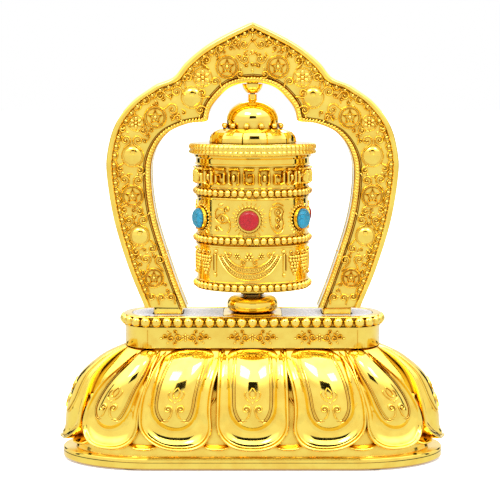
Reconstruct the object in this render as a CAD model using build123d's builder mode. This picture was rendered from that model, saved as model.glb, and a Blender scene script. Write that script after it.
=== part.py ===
from build123d import *
import math
import os

# Prayer wheel: a drum on an upright spindle under an ogee arch, standing on an oval deck over a
# lotus base that holds one AA cell, a small motor and a three-stage train of plastic gears.
# Frame: origin on the ground under the spindle, +X to the right, +Y to the back, +Z up, in mm.

os.makedirs("parts", exist_ok=True)

# ---------------------------------------------------------------- driving dimensions
# Base
BASE_HALF_WIDTH = 52.0
BASE_HALF_DEPTH = 19.8
BASE_STRAIGHT = 26.0  # half length of the straight front and back edges
PLATE_BOTTOM = 0.4  # the rubber feet stand this far proud
PLATE_TOP = 2.25
LEDGE_TOP = 3.3
SHELL_TOP = 31.4
SHELL_WALL = 1.5
PETAL_LIP = 53.0  # half width over the flared petal lips
SKIRT_FOOT = 49.9  # half width of the skirt where it rises from the ledge
# Deck
DECK_HALF_WIDTH = 34.8
DECK_HALF_DEPTH = 10.3
DECK_STRAIGHT = 27.5
DECK_TOP = 40.0
DECK_WALL = 1.5
DECK_PLATE_UNDER = 37.4
RIM_BEAD_RADIUS = 1.43
RIM_BEAD_HEIGHT = 38.5
# Arch
ARCH_HALF_DEPTH = 6.0
ARCH_WALL = 1.6
ARCH_FOOT_HALF_DEPTH = 4.5
FOOT_INNER = 18.9
FOOT_OUTER = 26.9
FOOT_BOTTOM = 38.1
LEG_BOTTOM = 41.7
# Drum
DRUM_RADIUS = 15.1
DRUM_WALL = 1.4
DRUM_BOTTOM = 47.0
DRUM_TOP = 83.2
BEAD_ROW_HEIGHTS = (48.25, 60.7, 73.3)
BEAD_ROW_RADIUS = 1.2
FLANGE_RADIUS = 17.35
FLANGE_TOP = 86.2
JEWEL_HEIGHT = 66.3
JEWEL_RADIUS = 2.7
JEWEL_CROWN = 17.4  # distance from the drum's axis to the top of a stone
JEWEL_SEAT = 15.2
FIRST_JEWEL_ANGLE = -93.5  # a coral stone, measured from +X
ROOF_FACETS = 12
ROOF_RADIUS = 11.9
ROOF_TURN = -72.0
DOME_RADIUS = 7.1
DOME_CENTRE = 92.2
DOME_RISE = 5.4
# Spindle and bearings
SPINDLE_RADIUS = 1.0
RUNNING_GAP = 0.05
BOSS_RADIUS = 7.0
BOSS_TOP = 44.5
PIVOT_PIN_RADIUS = 0.7
# Gears
MODULE = 0.4
DRUM_TEETH = 40
WHEEL_TEETH = 30
PINION_TEETH = 10
GEAR_FACE = 2.0
LOWER_MESH = 20.2  # underside of the drum gear and of the idler's pinion
UPPER_MESH = 22.6  # underside of the idler's wheel and of the motor pinion
IDLER_X = MODULE * (DRUM_TEETH + PINION_TEETH) / 2
MOTOR_X = IDLER_X + MODULE * (WHEEL_TEETH + PINION_TEETH) / 2
# Battery: one AA cell
CELL_RADIUS = 7.25
CELL_LENGTH = 50.5
CELL_HEIGHT = 10.3
CRADLE_LEFT = -30.2
CRADLE_RIGHT = 27.2
CRADLE_HALF = 8.9
RIM_WALL = 1.2  # wall of the cover's locating rim
# Gap between pieces that only touch, and between a screw and its pilot hole
FIT = 0.05
CLEAR = 0.3


# ---------------------------------------------------------------- shared shapes
def half_depth_at(half_width):
    """Half depth of the oval body at the level where its half width is half_width."""
    slope = (BASE_HALF_DEPTH - DECK_HALF_DEPTH) / (BASE_HALF_WIDTH - DECK_HALF_WIDTH)
    return DECK_HALF_DEPTH + slope * (half_width - DECK_HALF_WIDTH)


def straight_at(half_width):
    """Half length of the straight edges at the level where the half width is half_width."""
    slope = (BASE_STRAIGHT - DECK_STRAIGHT) / (BASE_HALF_WIDTH - DECK_HALF_WIDTH)
    return DECK_STRAIGHT + slope * (half_width - DECK_HALF_WIDTH)


def oval(half_width, half_depth, straight, inset=0.0, mode=Mode.ADD):
    """Face with a straight front and back and half-ellipse ends, drawn in by inset."""
    depth = half_depth - inset
    end = half_width - inset - straight
    with BuildLine() as outline:
        Line((-straight, -depth), (straight, -depth))
        EllipticalCenterArc((straight, 0), end, depth, start_angle=-90, arc_size=180)
        Line((straight, depth), (-straight, depth))
        EllipticalCenterArc((-straight, 0), end, depth, start_angle=90, arc_size=180)
    make_face(outline.edges(), mode=mode)


def oval_loft(levels, inset=0.0):
    """Smooth body through ovals, one for each (height, half width)."""
    sections = []
    for height, half_width in levels:
        with BuildSketch(Plane.XY.offset(height)) as section:
            oval(half_width, half_depth_at(half_width), straight_at(half_width), inset)
        sections.append(section.sketch)
    loft(sections)


def block(low, high, mode=Mode.ADD):
    """Box between two corners."""
    size = [high[i] - low[i] for i in range(3)]
    middle = [(high[i] + low[i]) / 2 for i in range(3)]
    with Locations(tuple(middle)):
        Box(*size, mode=mode)


def rod(x, y, low, high, radius, mode=Mode.ADD):
    """Upright cylinder between two heights."""
    with Locations((x, y, (low + high) / 2)):
        Cylinder(radius, high - low, mode=mode)


def screw(x, y, head_bottom, head_height, head_radius, length, radius):
    """Screw driven upwards: head below, shank above."""
    rod(x, y, head_bottom, head_bottom + head_height, head_radius)
    rod(x, y, head_bottom + head_height, head_bottom + head_height + length, radius)
    block((x - head_radius * 0.7, y - 0.2, head_bottom), (x + head_radius * 0.7, y + 0.2, head_bottom + 0.4),
          mode=Mode.SUBTRACT)


def gear_face(teeth, centre_x, turn):
    """Spur gear outline: involute flanks with a little backlash."""
    pitch = MODULE * teeth / 2
    tip = pitch + 0.85 * MODULE
    root = pitch - 1.2 * MODULE
    base = pitch * math.cos(math.radians(20))
    half_tooth = 0.84 * math.pi / (2 * teeth)

    def involute(radius):
        """Involute function of the pressure angle at a radius."""
        angle = math.acos(min(1.0, base / radius))
        return math.tan(angle) - angle

    points = []
    for tooth in range(teeth):
        middle = math.radians(turn) + 2 * math.pi * tooth / teeth
        for side in (-1, 1):
            levels = (root, max(base, root), pitch, tip)
            for radius in levels[::-side]:
                spread = half_tooth + involute(pitch) - involute(max(radius, base))
                angle = middle + side * spread
                points.append((centre_x + radius * math.cos(angle), radius * math.sin(angle)))
    distinct = [points[0]]
    for point in points[1:]:
        if math.dist(point, distinct[-1]) > 0.01:
            distinct.append(point)
    with BuildLine() as outline:
        Polyline(*distinct, close=True)
    make_face(outline.edges())


def ring_profile(points):
    """Solid of revolution about Z from a closed outline of (radius, height) points."""
    with BuildSketch(Plane.XZ) as section:
        with BuildLine():
            Polyline(*points, close=True)
        make_face()
    revolve(section.sketch, axis=Axis.Z)


def finish(part, name):
    """Label a finished piece and write it."""
    part.part.label = name
    export_step(part.part, f"parts/{name}.step")


# ---------------------------------------------------------------- bottom cover and feet
COVER_SCREWS = [(x, y) for x in (-39.5, 39.5) for y in (-8.5, 8.5)]
FEET = [(x, y) for x in (-32.0, 32.0) for y in (-14.0, 14.0)]
FOOT_RADIUS = 3.6
FOOT_RECESS = 1.0
DOOR_LEFT = -28.4
DOOR_RIGHT = 28.0
DOOR_HALF_DEPTH = 8.5
DOOR_BOTTOM = 0.6
DOOR_TOP = 2.0
HINGE_X = -30.0
HINGE_Z = 1.9
HINGE_PIN = 0.5
KNUCKLE_RADIUS = 1.0
KNUCKLE_HALF = 4.0
EAR_OUTER = 7.0
SWITCH_LEFT = 35.5
SWITCH_KNOB = 3.0
SWITCH_TRAVEL = 2.0
SWITCH_KNOB_HALF = 1.2

with BuildPart() as bottom_cover:
    with BuildSketch(Plane.XY.offset(PLATE_BOTTOM)):
        oval(BASE_HALF_WIDTH, BASE_HALF_DEPTH, BASE_STRAIGHT)
    extrude(amount=PLATE_TOP - PLATE_BOTTOM)
    chamfer(bottom_cover.faces().sort_by(Axis.Z)[0].edges(), 0.45)
    # locating rim inside the shell
    with BuildSketch(Plane.XY.offset(PLATE_TOP)):
        oval(SKIRT_FOOT, half_depth_at(SKIRT_FOOT), BASE_STRAIGHT, SHELL_WALL + CLEAR)
        inner_inset = SHELL_WALL + CLEAR + RIM_WALL
        oval(SKIRT_FOOT, half_depth_at(SKIRT_FOOT), BASE_STRAIGHT, inner_inset, mode=Mode.SUBTRACT)
    extrude(amount=1.6)
    # battery opening and its hinge ears
    opening_half = DOOR_HALF_DEPTH + CLEAR
    block((HINGE_X - RIM_WALL, -opening_half, 0), (DOOR_RIGHT + CLEAR, opening_half, PLATE_TOP),
          mode=Mode.SUBTRACT)
    for side in (-1, 1):
        near = side * (KNUCKLE_HALF + 0.4)
        far = side * EAR_OUTER
        block((HINGE_X - 2.5, min(near, far), 1.0), (HINGE_X + 1.0, max(near, far), 2.9))
    with Locations(Location((HINGE_X, 0, HINGE_Z), (90, 0, 0))):
        Cylinder(HINGE_PIN + 0.01, 2 * EAR_OUTER, mode=Mode.SUBTRACT)
    # switch slot
    slot_half = SWITCH_KNOB_HALF + CLEAR
    slot_right = SWITCH_LEFT + SWITCH_KNOB + SWITCH_TRAVEL + CLEAR
    block((SWITCH_LEFT - CLEAR, -slot_half, 0), (slot_right, slot_half, PLATE_TOP), mode=Mode.SUBTRACT)
    for x, y in FEET:
        rod(x, y, 0, FOOT_RECESS, FOOT_RADIUS + FIT, mode=Mode.SUBTRACT)
    for x, y in COVER_SCREWS:
        rod(x, y, 0, 1.35, 2.0, mode=Mode.SUBTRACT)
        rod(x, y, 0, PLATE_TOP, 0.95, mode=Mode.SUBTRACT)
finish(bottom_cover, "bottom_cover")

with BuildPart() as rubber_feet:
    for x, y in FEET:
        rod(x, y, 0, FOOT_RECESS, FOOT_RADIUS)
finish(rubber_feet, "rubber_feet")

with BuildPart() as cover_screws:
    for x, y in COVER_SCREWS:
        screw(x, y, 0.55, 0.8, 1.8, 11.0, 0.9)
finish(cover_screws, "cover_screws")

# ---------------------------------------------------------------- battery door and switch
with BuildPart() as battery_door:
    block((DOOR_LEFT, -DOOR_HALF_DEPTH, DOOR_BOTTOM), (DOOR_RIGHT, DOOR_HALF_DEPTH, DOOR_TOP))
    block((HINGE_X, -KNUCKLE_HALF, DOOR_BOTTOM + 0.4), (DOOR_LEFT, KNUCKLE_HALF, DOOR_TOP))
    with Locations(Location((HINGE_X, 0, HINGE_Z), (90, 0, 0))):
        Cylinder(KNUCKLE_RADIUS, 2 * KNUCKLE_HALF)
        Cylinder(HINGE_PIN + RUNNING_GAP, 2 * KNUCKLE_HALF, mode=Mode.SUBTRACT)
    # finger groove at the free end and grip ribs
    block((DOOR_RIGHT - 3, -3, DOOR_BOTTOM), (DOOR_RIGHT - 1.5, 3, DOOR_BOTTOM + 0.6), mode=Mode.SUBTRACT)
    for rib in range(5):
        edge = DOOR_RIGHT - 6 - 1.4 * rib
        block((edge - 0.5, -4, DOOR_BOTTOM), (edge, 4, DOOR_BOTTOM + 0.3), mode=Mode.SUBTRACT)
finish(battery_door, "battery_door")

with BuildPart() as door_hinge_pin:
    with Locations(Location((HINGE_X, 0, HINGE_Z), (90, 0, 0))):
        Cylinder(HINGE_PIN, 2 * EAR_OUTER)
finish(door_hinge_pin, "door_hinge_pin")

with BuildPart() as switch_slider:
    block((SWITCH_LEFT, -SWITCH_KNOB_HALF, 0.7), (SWITCH_LEFT + SWITCH_KNOB, SWITCH_KNOB_HALF, 3.2))
    block((SWITCH_LEFT - 0.8, -1.8, 2.7), (SWITCH_LEFT + SWITCH_KNOB + 0.8, 1.8, 3.4))
    for groove in range(3):
        edge = SWITCH_LEFT + 0.5 + 0.8 * groove
        block((edge, -SWITCH_KNOB_HALF, 0.7), (edge + 0.35, SWITCH_KNOB_HALF, 0.95), mode=Mode.SUBTRACT)
finish(switch_slider, "switch_slider")

with BuildPart() as switch_body:
    block((SWITCH_LEFT - 2.7, -3.2, PLATE_TOP + FIT), (SWITCH_LEFT + 7.7, 3.2, 7.0))
    block((SWITCH_LEFT - 1.2, -2.15, PLATE_TOP), (SWITCH_LEFT + 6.2, 2.15, 3.8), mode=Mode.SUBTRACT)
finish(switch_body, "switch_body")

# ---------------------------------------------------------------- lotus shell
# height and half width of the skirt, and of the petals' faces in front of it
SKIRT = (
    (LEDGE_TOP - 0.3, SKIRT_FOOT),
    (9.8, 50.2),
    (16.5, 48.8),
    (23.2, 45.4),
    (28.2, 40.0),
    (SHELL_TOP, 35.6),
)
PETAL_FACE = (
    (4.9, 52.6),
    (6.4, PETAL_LIP),
    (9.8, 51.7),
    (16.5, 50.1),
    (23.2, 46.9),
    (28.2, 41.2),
    (SHELL_TOP, 36.2),
)
PETAL_BOTTOM = 5.2
PETAL_SHOULDER = 12.5
FRONT_PITCH = 19.0
CORNER_ANGLE = 20.2
# each petal: point on the base outline, direction it faces, half width, sideways lean of its top
RIGHT_PETALS = (
    ((FRONT_PITCH, -BASE_HALF_DEPTH), -90.0, 9.2, -6.2),
    ((37.3, -17.8), -90.0 + CORNER_ANGLE, 9.4, -9.5),
)


def petal_prism(foot, facing, half_width, lean):
    """Prism along the facing direction whose section is one petal's outline."""
    direction = Vector(math.cos(math.radians(facing)), math.sin(math.radians(facing)), 0)
    across = Vector(-direction.Y, direction.X, 0)
    start = Vector(foot[0], foot[1], 0) - direction * 18
    top_half = 0.5 * half_width
    with BuildSketch(Plane(origin=start, x_dir=across, z_dir=direction)) as outline:
        with BuildLine():
            ThreePointArc((-half_width, PETAL_SHOULDER), (0, PETAL_BOTTOM), (half_width, PETAL_SHOULDER))
            Line((half_width, PETAL_SHOULDER), (lean + top_half, SHELL_TOP))
            Line((lean + top_half, SHELL_TOP), (lean - top_half, SHELL_TOP))
            Line((lean - top_half, SHELL_TOP), (-half_width, PETAL_SHOULDER))
        make_face()
    extrude(outline.sketch, amount=24)


with BuildPart() as petals:
    petal_prism((0, -BASE_HALF_DEPTH), -90.0, 9.2, 0.0)
    petal_prism((0, BASE_HALF_DEPTH), 90.0, 9.2, 0.0)
    for foot, facing, half_width, lean in RIGHT_PETALS:
        petal_prism(foot, facing, half_width, lean)
        petal_prism((-foot[0], foot[1]), -180.0 - facing, half_width, -lean)
        petal_prism((foot[0], -foot[1]), -facing, half_width, -lean)
        petal_prism((-foot[0], -foot[1]), 180.0 + facing, half_width, lean)
    petal_prism((BASE_HALF_WIDTH, 0), 0.0, 13.0, 0.0)
    petal_prism((-BASE_HALF_WIDTH, 0), 180.0, 13.0, 0.0)
    with BuildPart(mode=Mode.PRIVATE) as petal_body:
        oval_loft(PETAL_FACE)
    add(petal_body.part, mode=Mode.INTERSECT)

POST_RADIUS = 2.5
with BuildPart() as lotus_shell:
    with BuildSketch(Plane.XY.offset(PLATE_TOP)):
        oval(BASE_HALF_WIDTH, BASE_HALF_DEPTH, BASE_STRAIGHT)
    extrude(amount=LEDGE_TOP - PLATE_TOP)
    oval_loft(SKIRT)
    add(petals.part)
    with BuildPart(mode=Mode.PRIVATE) as cavity:
        cavity_levels = ((PLATE_TOP - 0.5, SKIRT_FOOT),) + SKIRT[1:-1] + ((SHELL_TOP + 0.2, 35.3),)
        oval_loft(cavity_levels, inset=SHELL_WALL)
    add(cavity.part, mode=Mode.SUBTRACT)
    # screw posts and the end flanges that carry the deck
    for x, y in COVER_SCREWS:
        rod(x, y, PLATE_TOP, 21.0, POST_RADIUS)
        rod(x, y, PLATE_TOP, 14.0, 0.9 + FIT, mode=Mode.SUBTRACT)
    for side in (-1, 1):
        block((min(side * 29.4, side * 34.6), -5.0, 29.6), (max(side * 29.4, side * 34.6), 5.0, SHELL_TOP))
        rod(side * 31.5, 0, 29.0, SHELL_TOP, 1.05, mode=Mode.SUBTRACT)
finish(lotus_shell, "lotus_shell")

# ---------------------------------------------------------------- battery and its contacts
with BuildPart() as battery_cradle:
    for side in (-1, 1):
        near = side * CRADLE_HALF
        far = side * (CRADLE_HALF + 1.2)
        block((CRADLE_LEFT, min(near, far), PLATE_TOP + FIT), (CRADLE_RIGHT, max(near, far), 13.0))
        block((side * 12 - 0.8, -CRADLE_HALF, 8.0), (side * 12 + 0.8, CRADLE_HALF, 15.0))
    with Locations(Location((0, 0, CELL_HEIGHT), (0, 90, 0))):
        Cylinder(CELL_RADIUS + 0.2, 40.0, mode=Mode.SUBTRACT)
    for wall in (CRADLE_LEFT, CRADLE_RIGHT - 1.3):
        block((wall, -CRADLE_HALF - 1.2, 3.4), (wall + 1.3, CRADLE_HALF + 1.2, 14.5))
    # the hinge knuckle turns under this corner
    corner_half = CRADLE_HALF + 1.2
    block((CRADLE_LEFT, -corner_half, PLATE_TOP), (CRADLE_LEFT + 2.2, corner_half, 3.4), mode=Mode.SUBTRACT)
finish(battery_cradle, "battery_cradle")

with BuildPart() as battery:
    can_length = CELL_LENGTH - 1.0
    with Locations(Location((-0.5, 0, CELL_HEIGHT), (0, 90, 0))):
        Cylinder(CELL_RADIUS, can_length)
    fillet(battery.edges().filter_by(GeomType.CIRCLE), 0.6)
    with Locations(Location((CELL_LENGTH / 2 - 0.5, 0, CELL_HEIGHT), (0, 90, 0))):
        Cylinder(2.75, 1.0)
finish(battery, "battery")

with BuildPart() as contact_plate:
    block((25.3, -5.0, 5.0), (25.7, 5.0, 15.5))
    block((25.3, -1.2, 15.5), (25.7, 1.2, 18.0))
finish(contact_plate, "contact_plate")

with BuildPart() as contact_spring:
    # folded leaf: a zigzag of spring strip between the end wall and the cell
    with BuildSketch(Plane.XZ.offset(-3.0)):
        with BuildLine():
            Polyline((-28.6, 5.0), (-28.6, 15.6), (-25.7, 13.0), (-27.9, 10.3), (-25.7, 7.6), (-27.9, 5.2))
        trace(line_width=0.3)
    extrude(amount=6.0)
finish(contact_spring, "contact_spring")

# ---------------------------------------------------------------- gear frame
COLUMNS = [(x, y) for x in (-8.6, 24.5) for y in (-6.6, 6.6)]
COLUMN_RADIUS = 1.5
FRAME_BOTTOM = 18.4
FRAME_TOP = 19.6
UPPER_PLATE_BOTTOM = 25.4
UPPER_PLATE_TOP = 26.8
FRAME_SCREW = 0.7
PLATE_MIDDLE = (COLUMNS[0][0] + COLUMNS[-1][0]) / 2
BUSH_RADIUS = 2.2
AXLE_RADIUS = 0.6

with BuildPart() as gear_frame:
    with BuildSketch(Plane.XY.offset(FRAME_BOTTOM)):
        with Locations((PLATE_MIDDLE, 0)):
            RectangleRounded(37.0, 17.0, 1.8)
    extrude(amount=FRAME_TOP - FRAME_BOTTOM)
    for x, y in COLUMNS:
        rod(x, y, FRAME_TOP, UPPER_PLATE_BOTTOM, COLUMN_RADIUS)
        rod(x, y, FRAME_BOTTOM, UPPER_PLATE_BOTTOM, FRAME_SCREW + FIT, mode=Mode.SUBTRACT)
    rod(0, 0, FRAME_BOTTOM, FRAME_TOP, BUSH_RADIUS + FIT, mode=Mode.SUBTRACT)
    rod(IDLER_X, 0, FRAME_BOTTOM, FRAME_TOP, AXLE_RADIUS + 0.02, mode=Mode.SUBTRACT)
finish(gear_frame, "gear_frame")

with BuildPart() as motor_plate:
    with BuildSketch(Plane.XY.offset(UPPER_PLATE_BOTTOM)):
        with Locations((PLATE_MIDDLE, 0)):
            RectangleRounded(37.0, 17.0, 1.8)
    extrude(amount=UPPER_PLATE_TOP - UPPER_PLATE_BOTTOM)
    for x, y in COLUMNS:
        rod(x, y, UPPER_PLATE_BOTTOM, UPPER_PLATE_TOP, FRAME_SCREW + FIT, mode=Mode.SUBTRACT)
    rod(0, 0, UPPER_PLATE_BOTTOM, UPPER_PLATE_TOP, SPINDLE_RADIUS + 0.4, mode=Mode.SUBTRACT)
    rod(IDLER_X, 0, UPPER_PLATE_BOTTOM, UPPER_PLATE_TOP, AXLE_RADIUS + 0.02, mode=Mode.SUBTRACT)
    rod(MOTOR_X, 0, UPPER_PLATE_BOTTOM, UPPER_PLATE_TOP, 1.5, mode=Mode.SUBTRACT)
finish(motor_plate, "motor_plate")

with BuildPart() as frame_screws:
    for x, y in COLUMNS:
        screw(x, y, FRAME_BOTTOM - 0.65, 0.6, 1.2, 11.5, FRAME_SCREW)
finish(frame_screws, "frame_screws")

with BuildPart() as lower_bush:
    rod(0, 0, FRAME_BOTTOM - 0.4, FRAME_TOP + 0.3, BUSH_RADIUS)
    rod(0, 0, FRAME_BOTTOM + 0.1, FRAME_TOP + 0.3, SPINDLE_RADIUS + RUNNING_GAP, mode=Mode.SUBTRACT)
finish(lower_bush, "lower_bush")

with BuildPart() as idler_axle:
    rod(IDLER_X, 0, FRAME_BOTTOM, UPPER_PLATE_TOP, AXLE_RADIUS)
finish(idler_axle, "idler_axle")

# ---------------------------------------------------------------- gears
with BuildPart() as drum_gear:
    with BuildSketch(Plane.XY.offset(LOWER_MESH)):
        gear_face(DRUM_TEETH, 0, 0)
        with PolarLocations(4.8, 6):
            Circle(1.2, mode=Mode.SUBTRACT)
    extrude(amount=GEAR_FACE)
    rod(0, 0, LOWER_MESH, UPPER_PLATE_BOTTOM - 0.4, 2.4)
    rod(0, 0, LOWER_MESH, UPPER_PLATE_BOTTOM, SPINDLE_RADIUS + 0.01, mode=Mode.SUBTRACT)
finish(drum_gear, "drum_gear")

with BuildPart() as idler_gear:
    with BuildSketch(Plane.XY.offset(UPPER_MESH)):
        gear_face(WHEEL_TEETH, IDLER_X, 0)
    extrude(amount=GEAR_FACE)
    with BuildSketch(Plane.XY.offset(LOWER_MESH)):
        gear_face(PINION_TEETH, IDLER_X, 18)
    extrude(amount=UPPER_MESH - LOWER_MESH)
    rod(IDLER_X, 0, LOWER_MESH, UPPER_PLATE_BOTTOM - 0.4, 1.3)
    rod(IDLER_X, 0, LOWER_MESH, UPPER_PLATE_BOTTOM, AXLE_RADIUS + RUNNING_GAP, mode=Mode.SUBTRACT)
finish(idler_gear, "idler_gear")

# ---------------------------------------------------------------- motor
MOTOR_RADIUS = 6.0
MOTOR_BOTTOM = UPPER_PLATE_TOP + 0.1
CAN_TOP = 33.4
CAP_TOP = 34.4
SHAFT_RADIUS = 0.5

with BuildPart() as motor_shaft:
    rod(MOTOR_X, 0, UPPER_MESH - 0.2, CAP_TOP - 0.3, SHAFT_RADIUS)
finish(motor_shaft, "motor_shaft")

with BuildPart() as motor_pinion:
    with BuildSketch(Plane.XY.offset(UPPER_MESH)):
        gear_face(PINION_TEETH, MOTOR_X, 18)
        with Locations((MOTOR_X, 0)):
            Circle(SHAFT_RADIUS + 0.01, mode=Mode.SUBTRACT)
    extrude(amount=GEAR_FACE)
finish(motor_pinion, "motor_pinion")

with BuildPart() as motor_armature:
    with BuildSketch(Plane.XY.offset(28.4)):
        with Locations((MOTOR_X, 0)):
            Circle(4.0)
            with PolarLocations(3.6, 3):
                Rectangle(1.6, 0.8, mode=Mode.SUBTRACT)
            Circle(SHAFT_RADIUS + 0.01, mode=Mode.SUBTRACT)
    extrude(amount=4.2)
finish(motor_armature, "motor_armature")

with BuildPart() as motor_can:
    rod(MOTOR_X, 0, MOTOR_BOTTOM, CAN_TOP, MOTOR_RADIUS)
    rod(MOTOR_X, 0, MOTOR_BOTTOM + 0.6, CAN_TOP, MOTOR_RADIUS - 0.5, mode=Mode.SUBTRACT)
    rod(MOTOR_X, 0, MOTOR_BOTTOM, CAN_TOP, SHAFT_RADIUS + RUNNING_GAP, mode=Mode.SUBTRACT)
finish(motor_can, "motor_can")

with BuildPart() as motor_magnets:
    with BuildSketch(Plane.XY.offset(MOTOR_BOTTOM + 0.9)):
        with Locations((MOTOR_X, 0)):
            Circle(MOTOR_RADIUS - 0.55)
            Circle(4.5, mode=Mode.SUBTRACT)
            Rectangle(4.4, 12.0, mode=Mode.SUBTRACT)
    extrude(amount=4.6)
finish(motor_magnets, "motor_magnets")

with BuildPart() as motor_cap:
    rod(MOTOR_X, 0, CAN_TOP + 0.02, CAP_TOP, MOTOR_RADIUS - 0.1)
    rod(MOTOR_X, 0, CAN_TOP - 0.5, CAN_TOP + 0.1, 3.0)
    rod(MOTOR_X, 0, CAN_TOP - 0.5, CAP_TOP - 0.25, SHAFT_RADIUS + RUNNING_GAP, mode=Mode.SUBTRACT)
finish(motor_cap, "motor_cap")

WIRE_Y = 3.9
WIRE_Z = 35.05
with BuildPart() as motor_terminals:
    for side in (-1, 1):
        y = side * WIRE_Y
        block((13.9, y - 0.6, CAP_TOP + 0.01), (15.2, y + 0.6, WIRE_Z + 0.4))
finish(motor_terminals, "motor_terminals")

BOARD_BOTTOM = 22.4
BOARD_TOP = 23.6
with BuildPart() as motor_leads:
    for side in (-1, 1):
        y = side * WIRE_Y
        with BuildLine() as lead_route:
            FilletPolyline((13.85, y, WIRE_Z), (-13.6, y, WIRE_Z), (-13.6, y, BOARD_TOP + FIT), radius=3.0)
        with BuildSketch(Plane(origin=(13.85, y, WIRE_Z), z_dir=(-1, 0, 0))):
            Circle(0.35)
        sweep(path=lead_route.line)
finish(motor_leads, "motor_leads")

# ---------------------------------------------------------------- circuit board
BOARD_POSTS = (-16.0, -28.0)
with BuildPart() as circuit_board:
    block((-31.5, -6.5, BOARD_BOTTOM), (-12.4, 6.5, BOARD_TOP))
    for x in BOARD_POSTS:
        rod(x, 0, BOARD_BOTTOM, BOARD_TOP, 0.8, mode=Mode.SUBTRACT)
    block((-24.5, -5.5, BOARD_TOP), (-19.5, -1.7, BOARD_TOP + 1.3))
    block((-30.5, -5.0, BOARD_TOP), (-29.7, 5.0, BOARD_TOP + 0.6))
finish(circuit_board, "circuit_board")

with BuildPart() as storage_capacitor:
    rod(-22.0, 3.4, BOARD_TOP + 0.02, BOARD_TOP + 5.5, 2.5)
    fillet(storage_capacitor.edges().group_by(Axis.Z)[-1], 0.4)
finish(storage_capacitor, "storage_capacitor")

# ---------------------------------------------------------------- deck
RECESS_INSET = 2.0
WINDOW_BOTTOM = 39.1
WINDOW_TOP = 39.9
WINDOW_INNER = 7.9
CELL_BOTTOM = 38.1
CELL_INNER = 8.6
CELL_OUTER = 17.8
CELL_HALF = 7.4
POCKET_GAP = 0.1
ARCH_SCREWS = [(x, y) for x in (-22.9, 22.9) for y in (-2.3, 2.3)]


def window_sketch(side, inset=0.0):
    """One half of the deck's inner field, from beside the boss to the rim."""
    oval(DECK_HALF_WIDTH, DECK_HALF_DEPTH, DECK_STRAIGHT, RECESS_INSET + inset)
    with Locations((side * (WINDOW_INNER + inset) - side * 50, 0)):
        Rectangle(100, 40, mode=Mode.SUBTRACT)


with BuildPart() as deck:
    with BuildSketch(Plane.XY.offset(SHELL_TOP)):
        oval(DECK_HALF_WIDTH, DECK_HALF_DEPTH, DECK_STRAIGHT)
    extrude(amount=DECK_TOP - SHELL_TOP)
    with BuildSketch(Plane.XY.offset(SHELL_TOP)):
        oval(DECK_HALF_WIDTH, DECK_HALF_DEPTH, DECK_STRAIGHT, DECK_WALL)
    extrude(amount=DECK_PLATE_UNDER - SHELL_TOP, mode=Mode.SUBTRACT)
    # posts for the gear frame, the board and the deck screws, and the floors of the leg pockets
    for x, y in COLUMNS:
        rod(x, y, UPPER_PLATE_TOP + FIT, DECK_PLATE_UNDER + 0.5, COLUMN_RADIUS)
        rod(x, y, UPPER_PLATE_TOP, 32.0, FRAME_SCREW + FIT, mode=Mode.SUBTRACT)
    for x in BOARD_POSTS:
        rod(x, 0, BOARD_TOP + 0.02, DECK_PLATE_UNDER + 0.5, 1.2)
        rod(x, 0, BOARD_BOTTOM - 0.3, BOARD_TOP + 0.5, 0.7)
    for side in (-1, 1):
        rod(side * 31.5, 0, SHELL_TOP, DECK_PLATE_UNDER + 0.5, 2.0)
        rod(side * 31.5, 0, SHELL_TOP, 36.2, 1.05, mode=Mode.SUBTRACT)
        floor_ends = (side * (FOOT_INNER - 1.3), side * (FOOT_OUTER + 1.3))
        block((min(floor_ends), -5.8, 36.6), (max(floor_ends), 5.8, DECK_PLATE_UNDER + 0.5))
    for side in (-1, 1):
        with BuildSketch(Plane.XY.offset(WINDOW_BOTTOM - 0.05)):
            window_sketch(side)
        extrude(amount=2.0, mode=Mode.SUBTRACT)
        inner = side * (FOOT_INNER - POCKET_GAP)
        outer = side * (FOOT_OUTER + POCKET_GAP)
        depth = ARCH_FOOT_HALF_DEPTH + POCKET_GAP
        block((min(inner, outer), -depth, FOOT_BOTTOM - 0.05), (max(inner, outer), depth, DECK_TOP),
              mode=Mode.SUBTRACT)
        near = side * (CELL_INNER - POCKET_GAP)
        far = side * (CELL_OUTER + POCKET_GAP)
        block((min(near, far), -CELL_HALF - 0.1, CELL_BOTTOM - 0.05),
              (max(near, far), CELL_HALF + 0.1, DECK_TOP), mode=Mode.SUBTRACT)
    for x, y in ARCH_SCREWS:
        rod(x, y, 36.0, FOOT_BOTTOM, 0.9, mode=Mode.SUBTRACT)
    rod(0, 0, DECK_PLATE_UNDER - 1.0, DECK_TOP, 3.0 + FIT, mode=Mode.SUBTRACT)

# the beads stand on this bar round the band
with BuildPart() as rim_bar:
    with BuildSketch(Plane.XY.offset(RIM_BEAD_HEIGHT - RIM_BEAD_RADIUS)):
        oval(DECK_HALF_WIDTH + RIM_BEAD_RADIUS, DECK_HALF_DEPTH + RIM_BEAD_RADIUS, DECK_STRAIGHT)
    extrude(amount=2 * RIM_BEAD_RADIUS)
    levels = rim_bar.edges().group_by(Axis.Z)
    fillet(levels[0] + levels[-1], RIM_BEAD_RADIUS - 0.1)
    with BuildSketch(Plane.XY.offset(SHELL_TOP)):
        oval(DECK_HALF_WIDTH, DECK_HALF_DEPTH, DECK_STRAIGHT, 0.4)
    extrude(amount=DECK_TOP - SHELL_TOP, mode=Mode.SUBTRACT)
with BuildPart() as deck_with_rim:
    add(deck.part)
    add(rim_bar.part)
finish(deck_with_rim, "deck")

with BuildPart() as deck_screws:
    for side in (-1, 1):
        screw(side * 31.5, 0, 28.0, 1.55, 1.9, 6.4, 1.0)
finish(deck_screws, "deck_screws")

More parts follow.
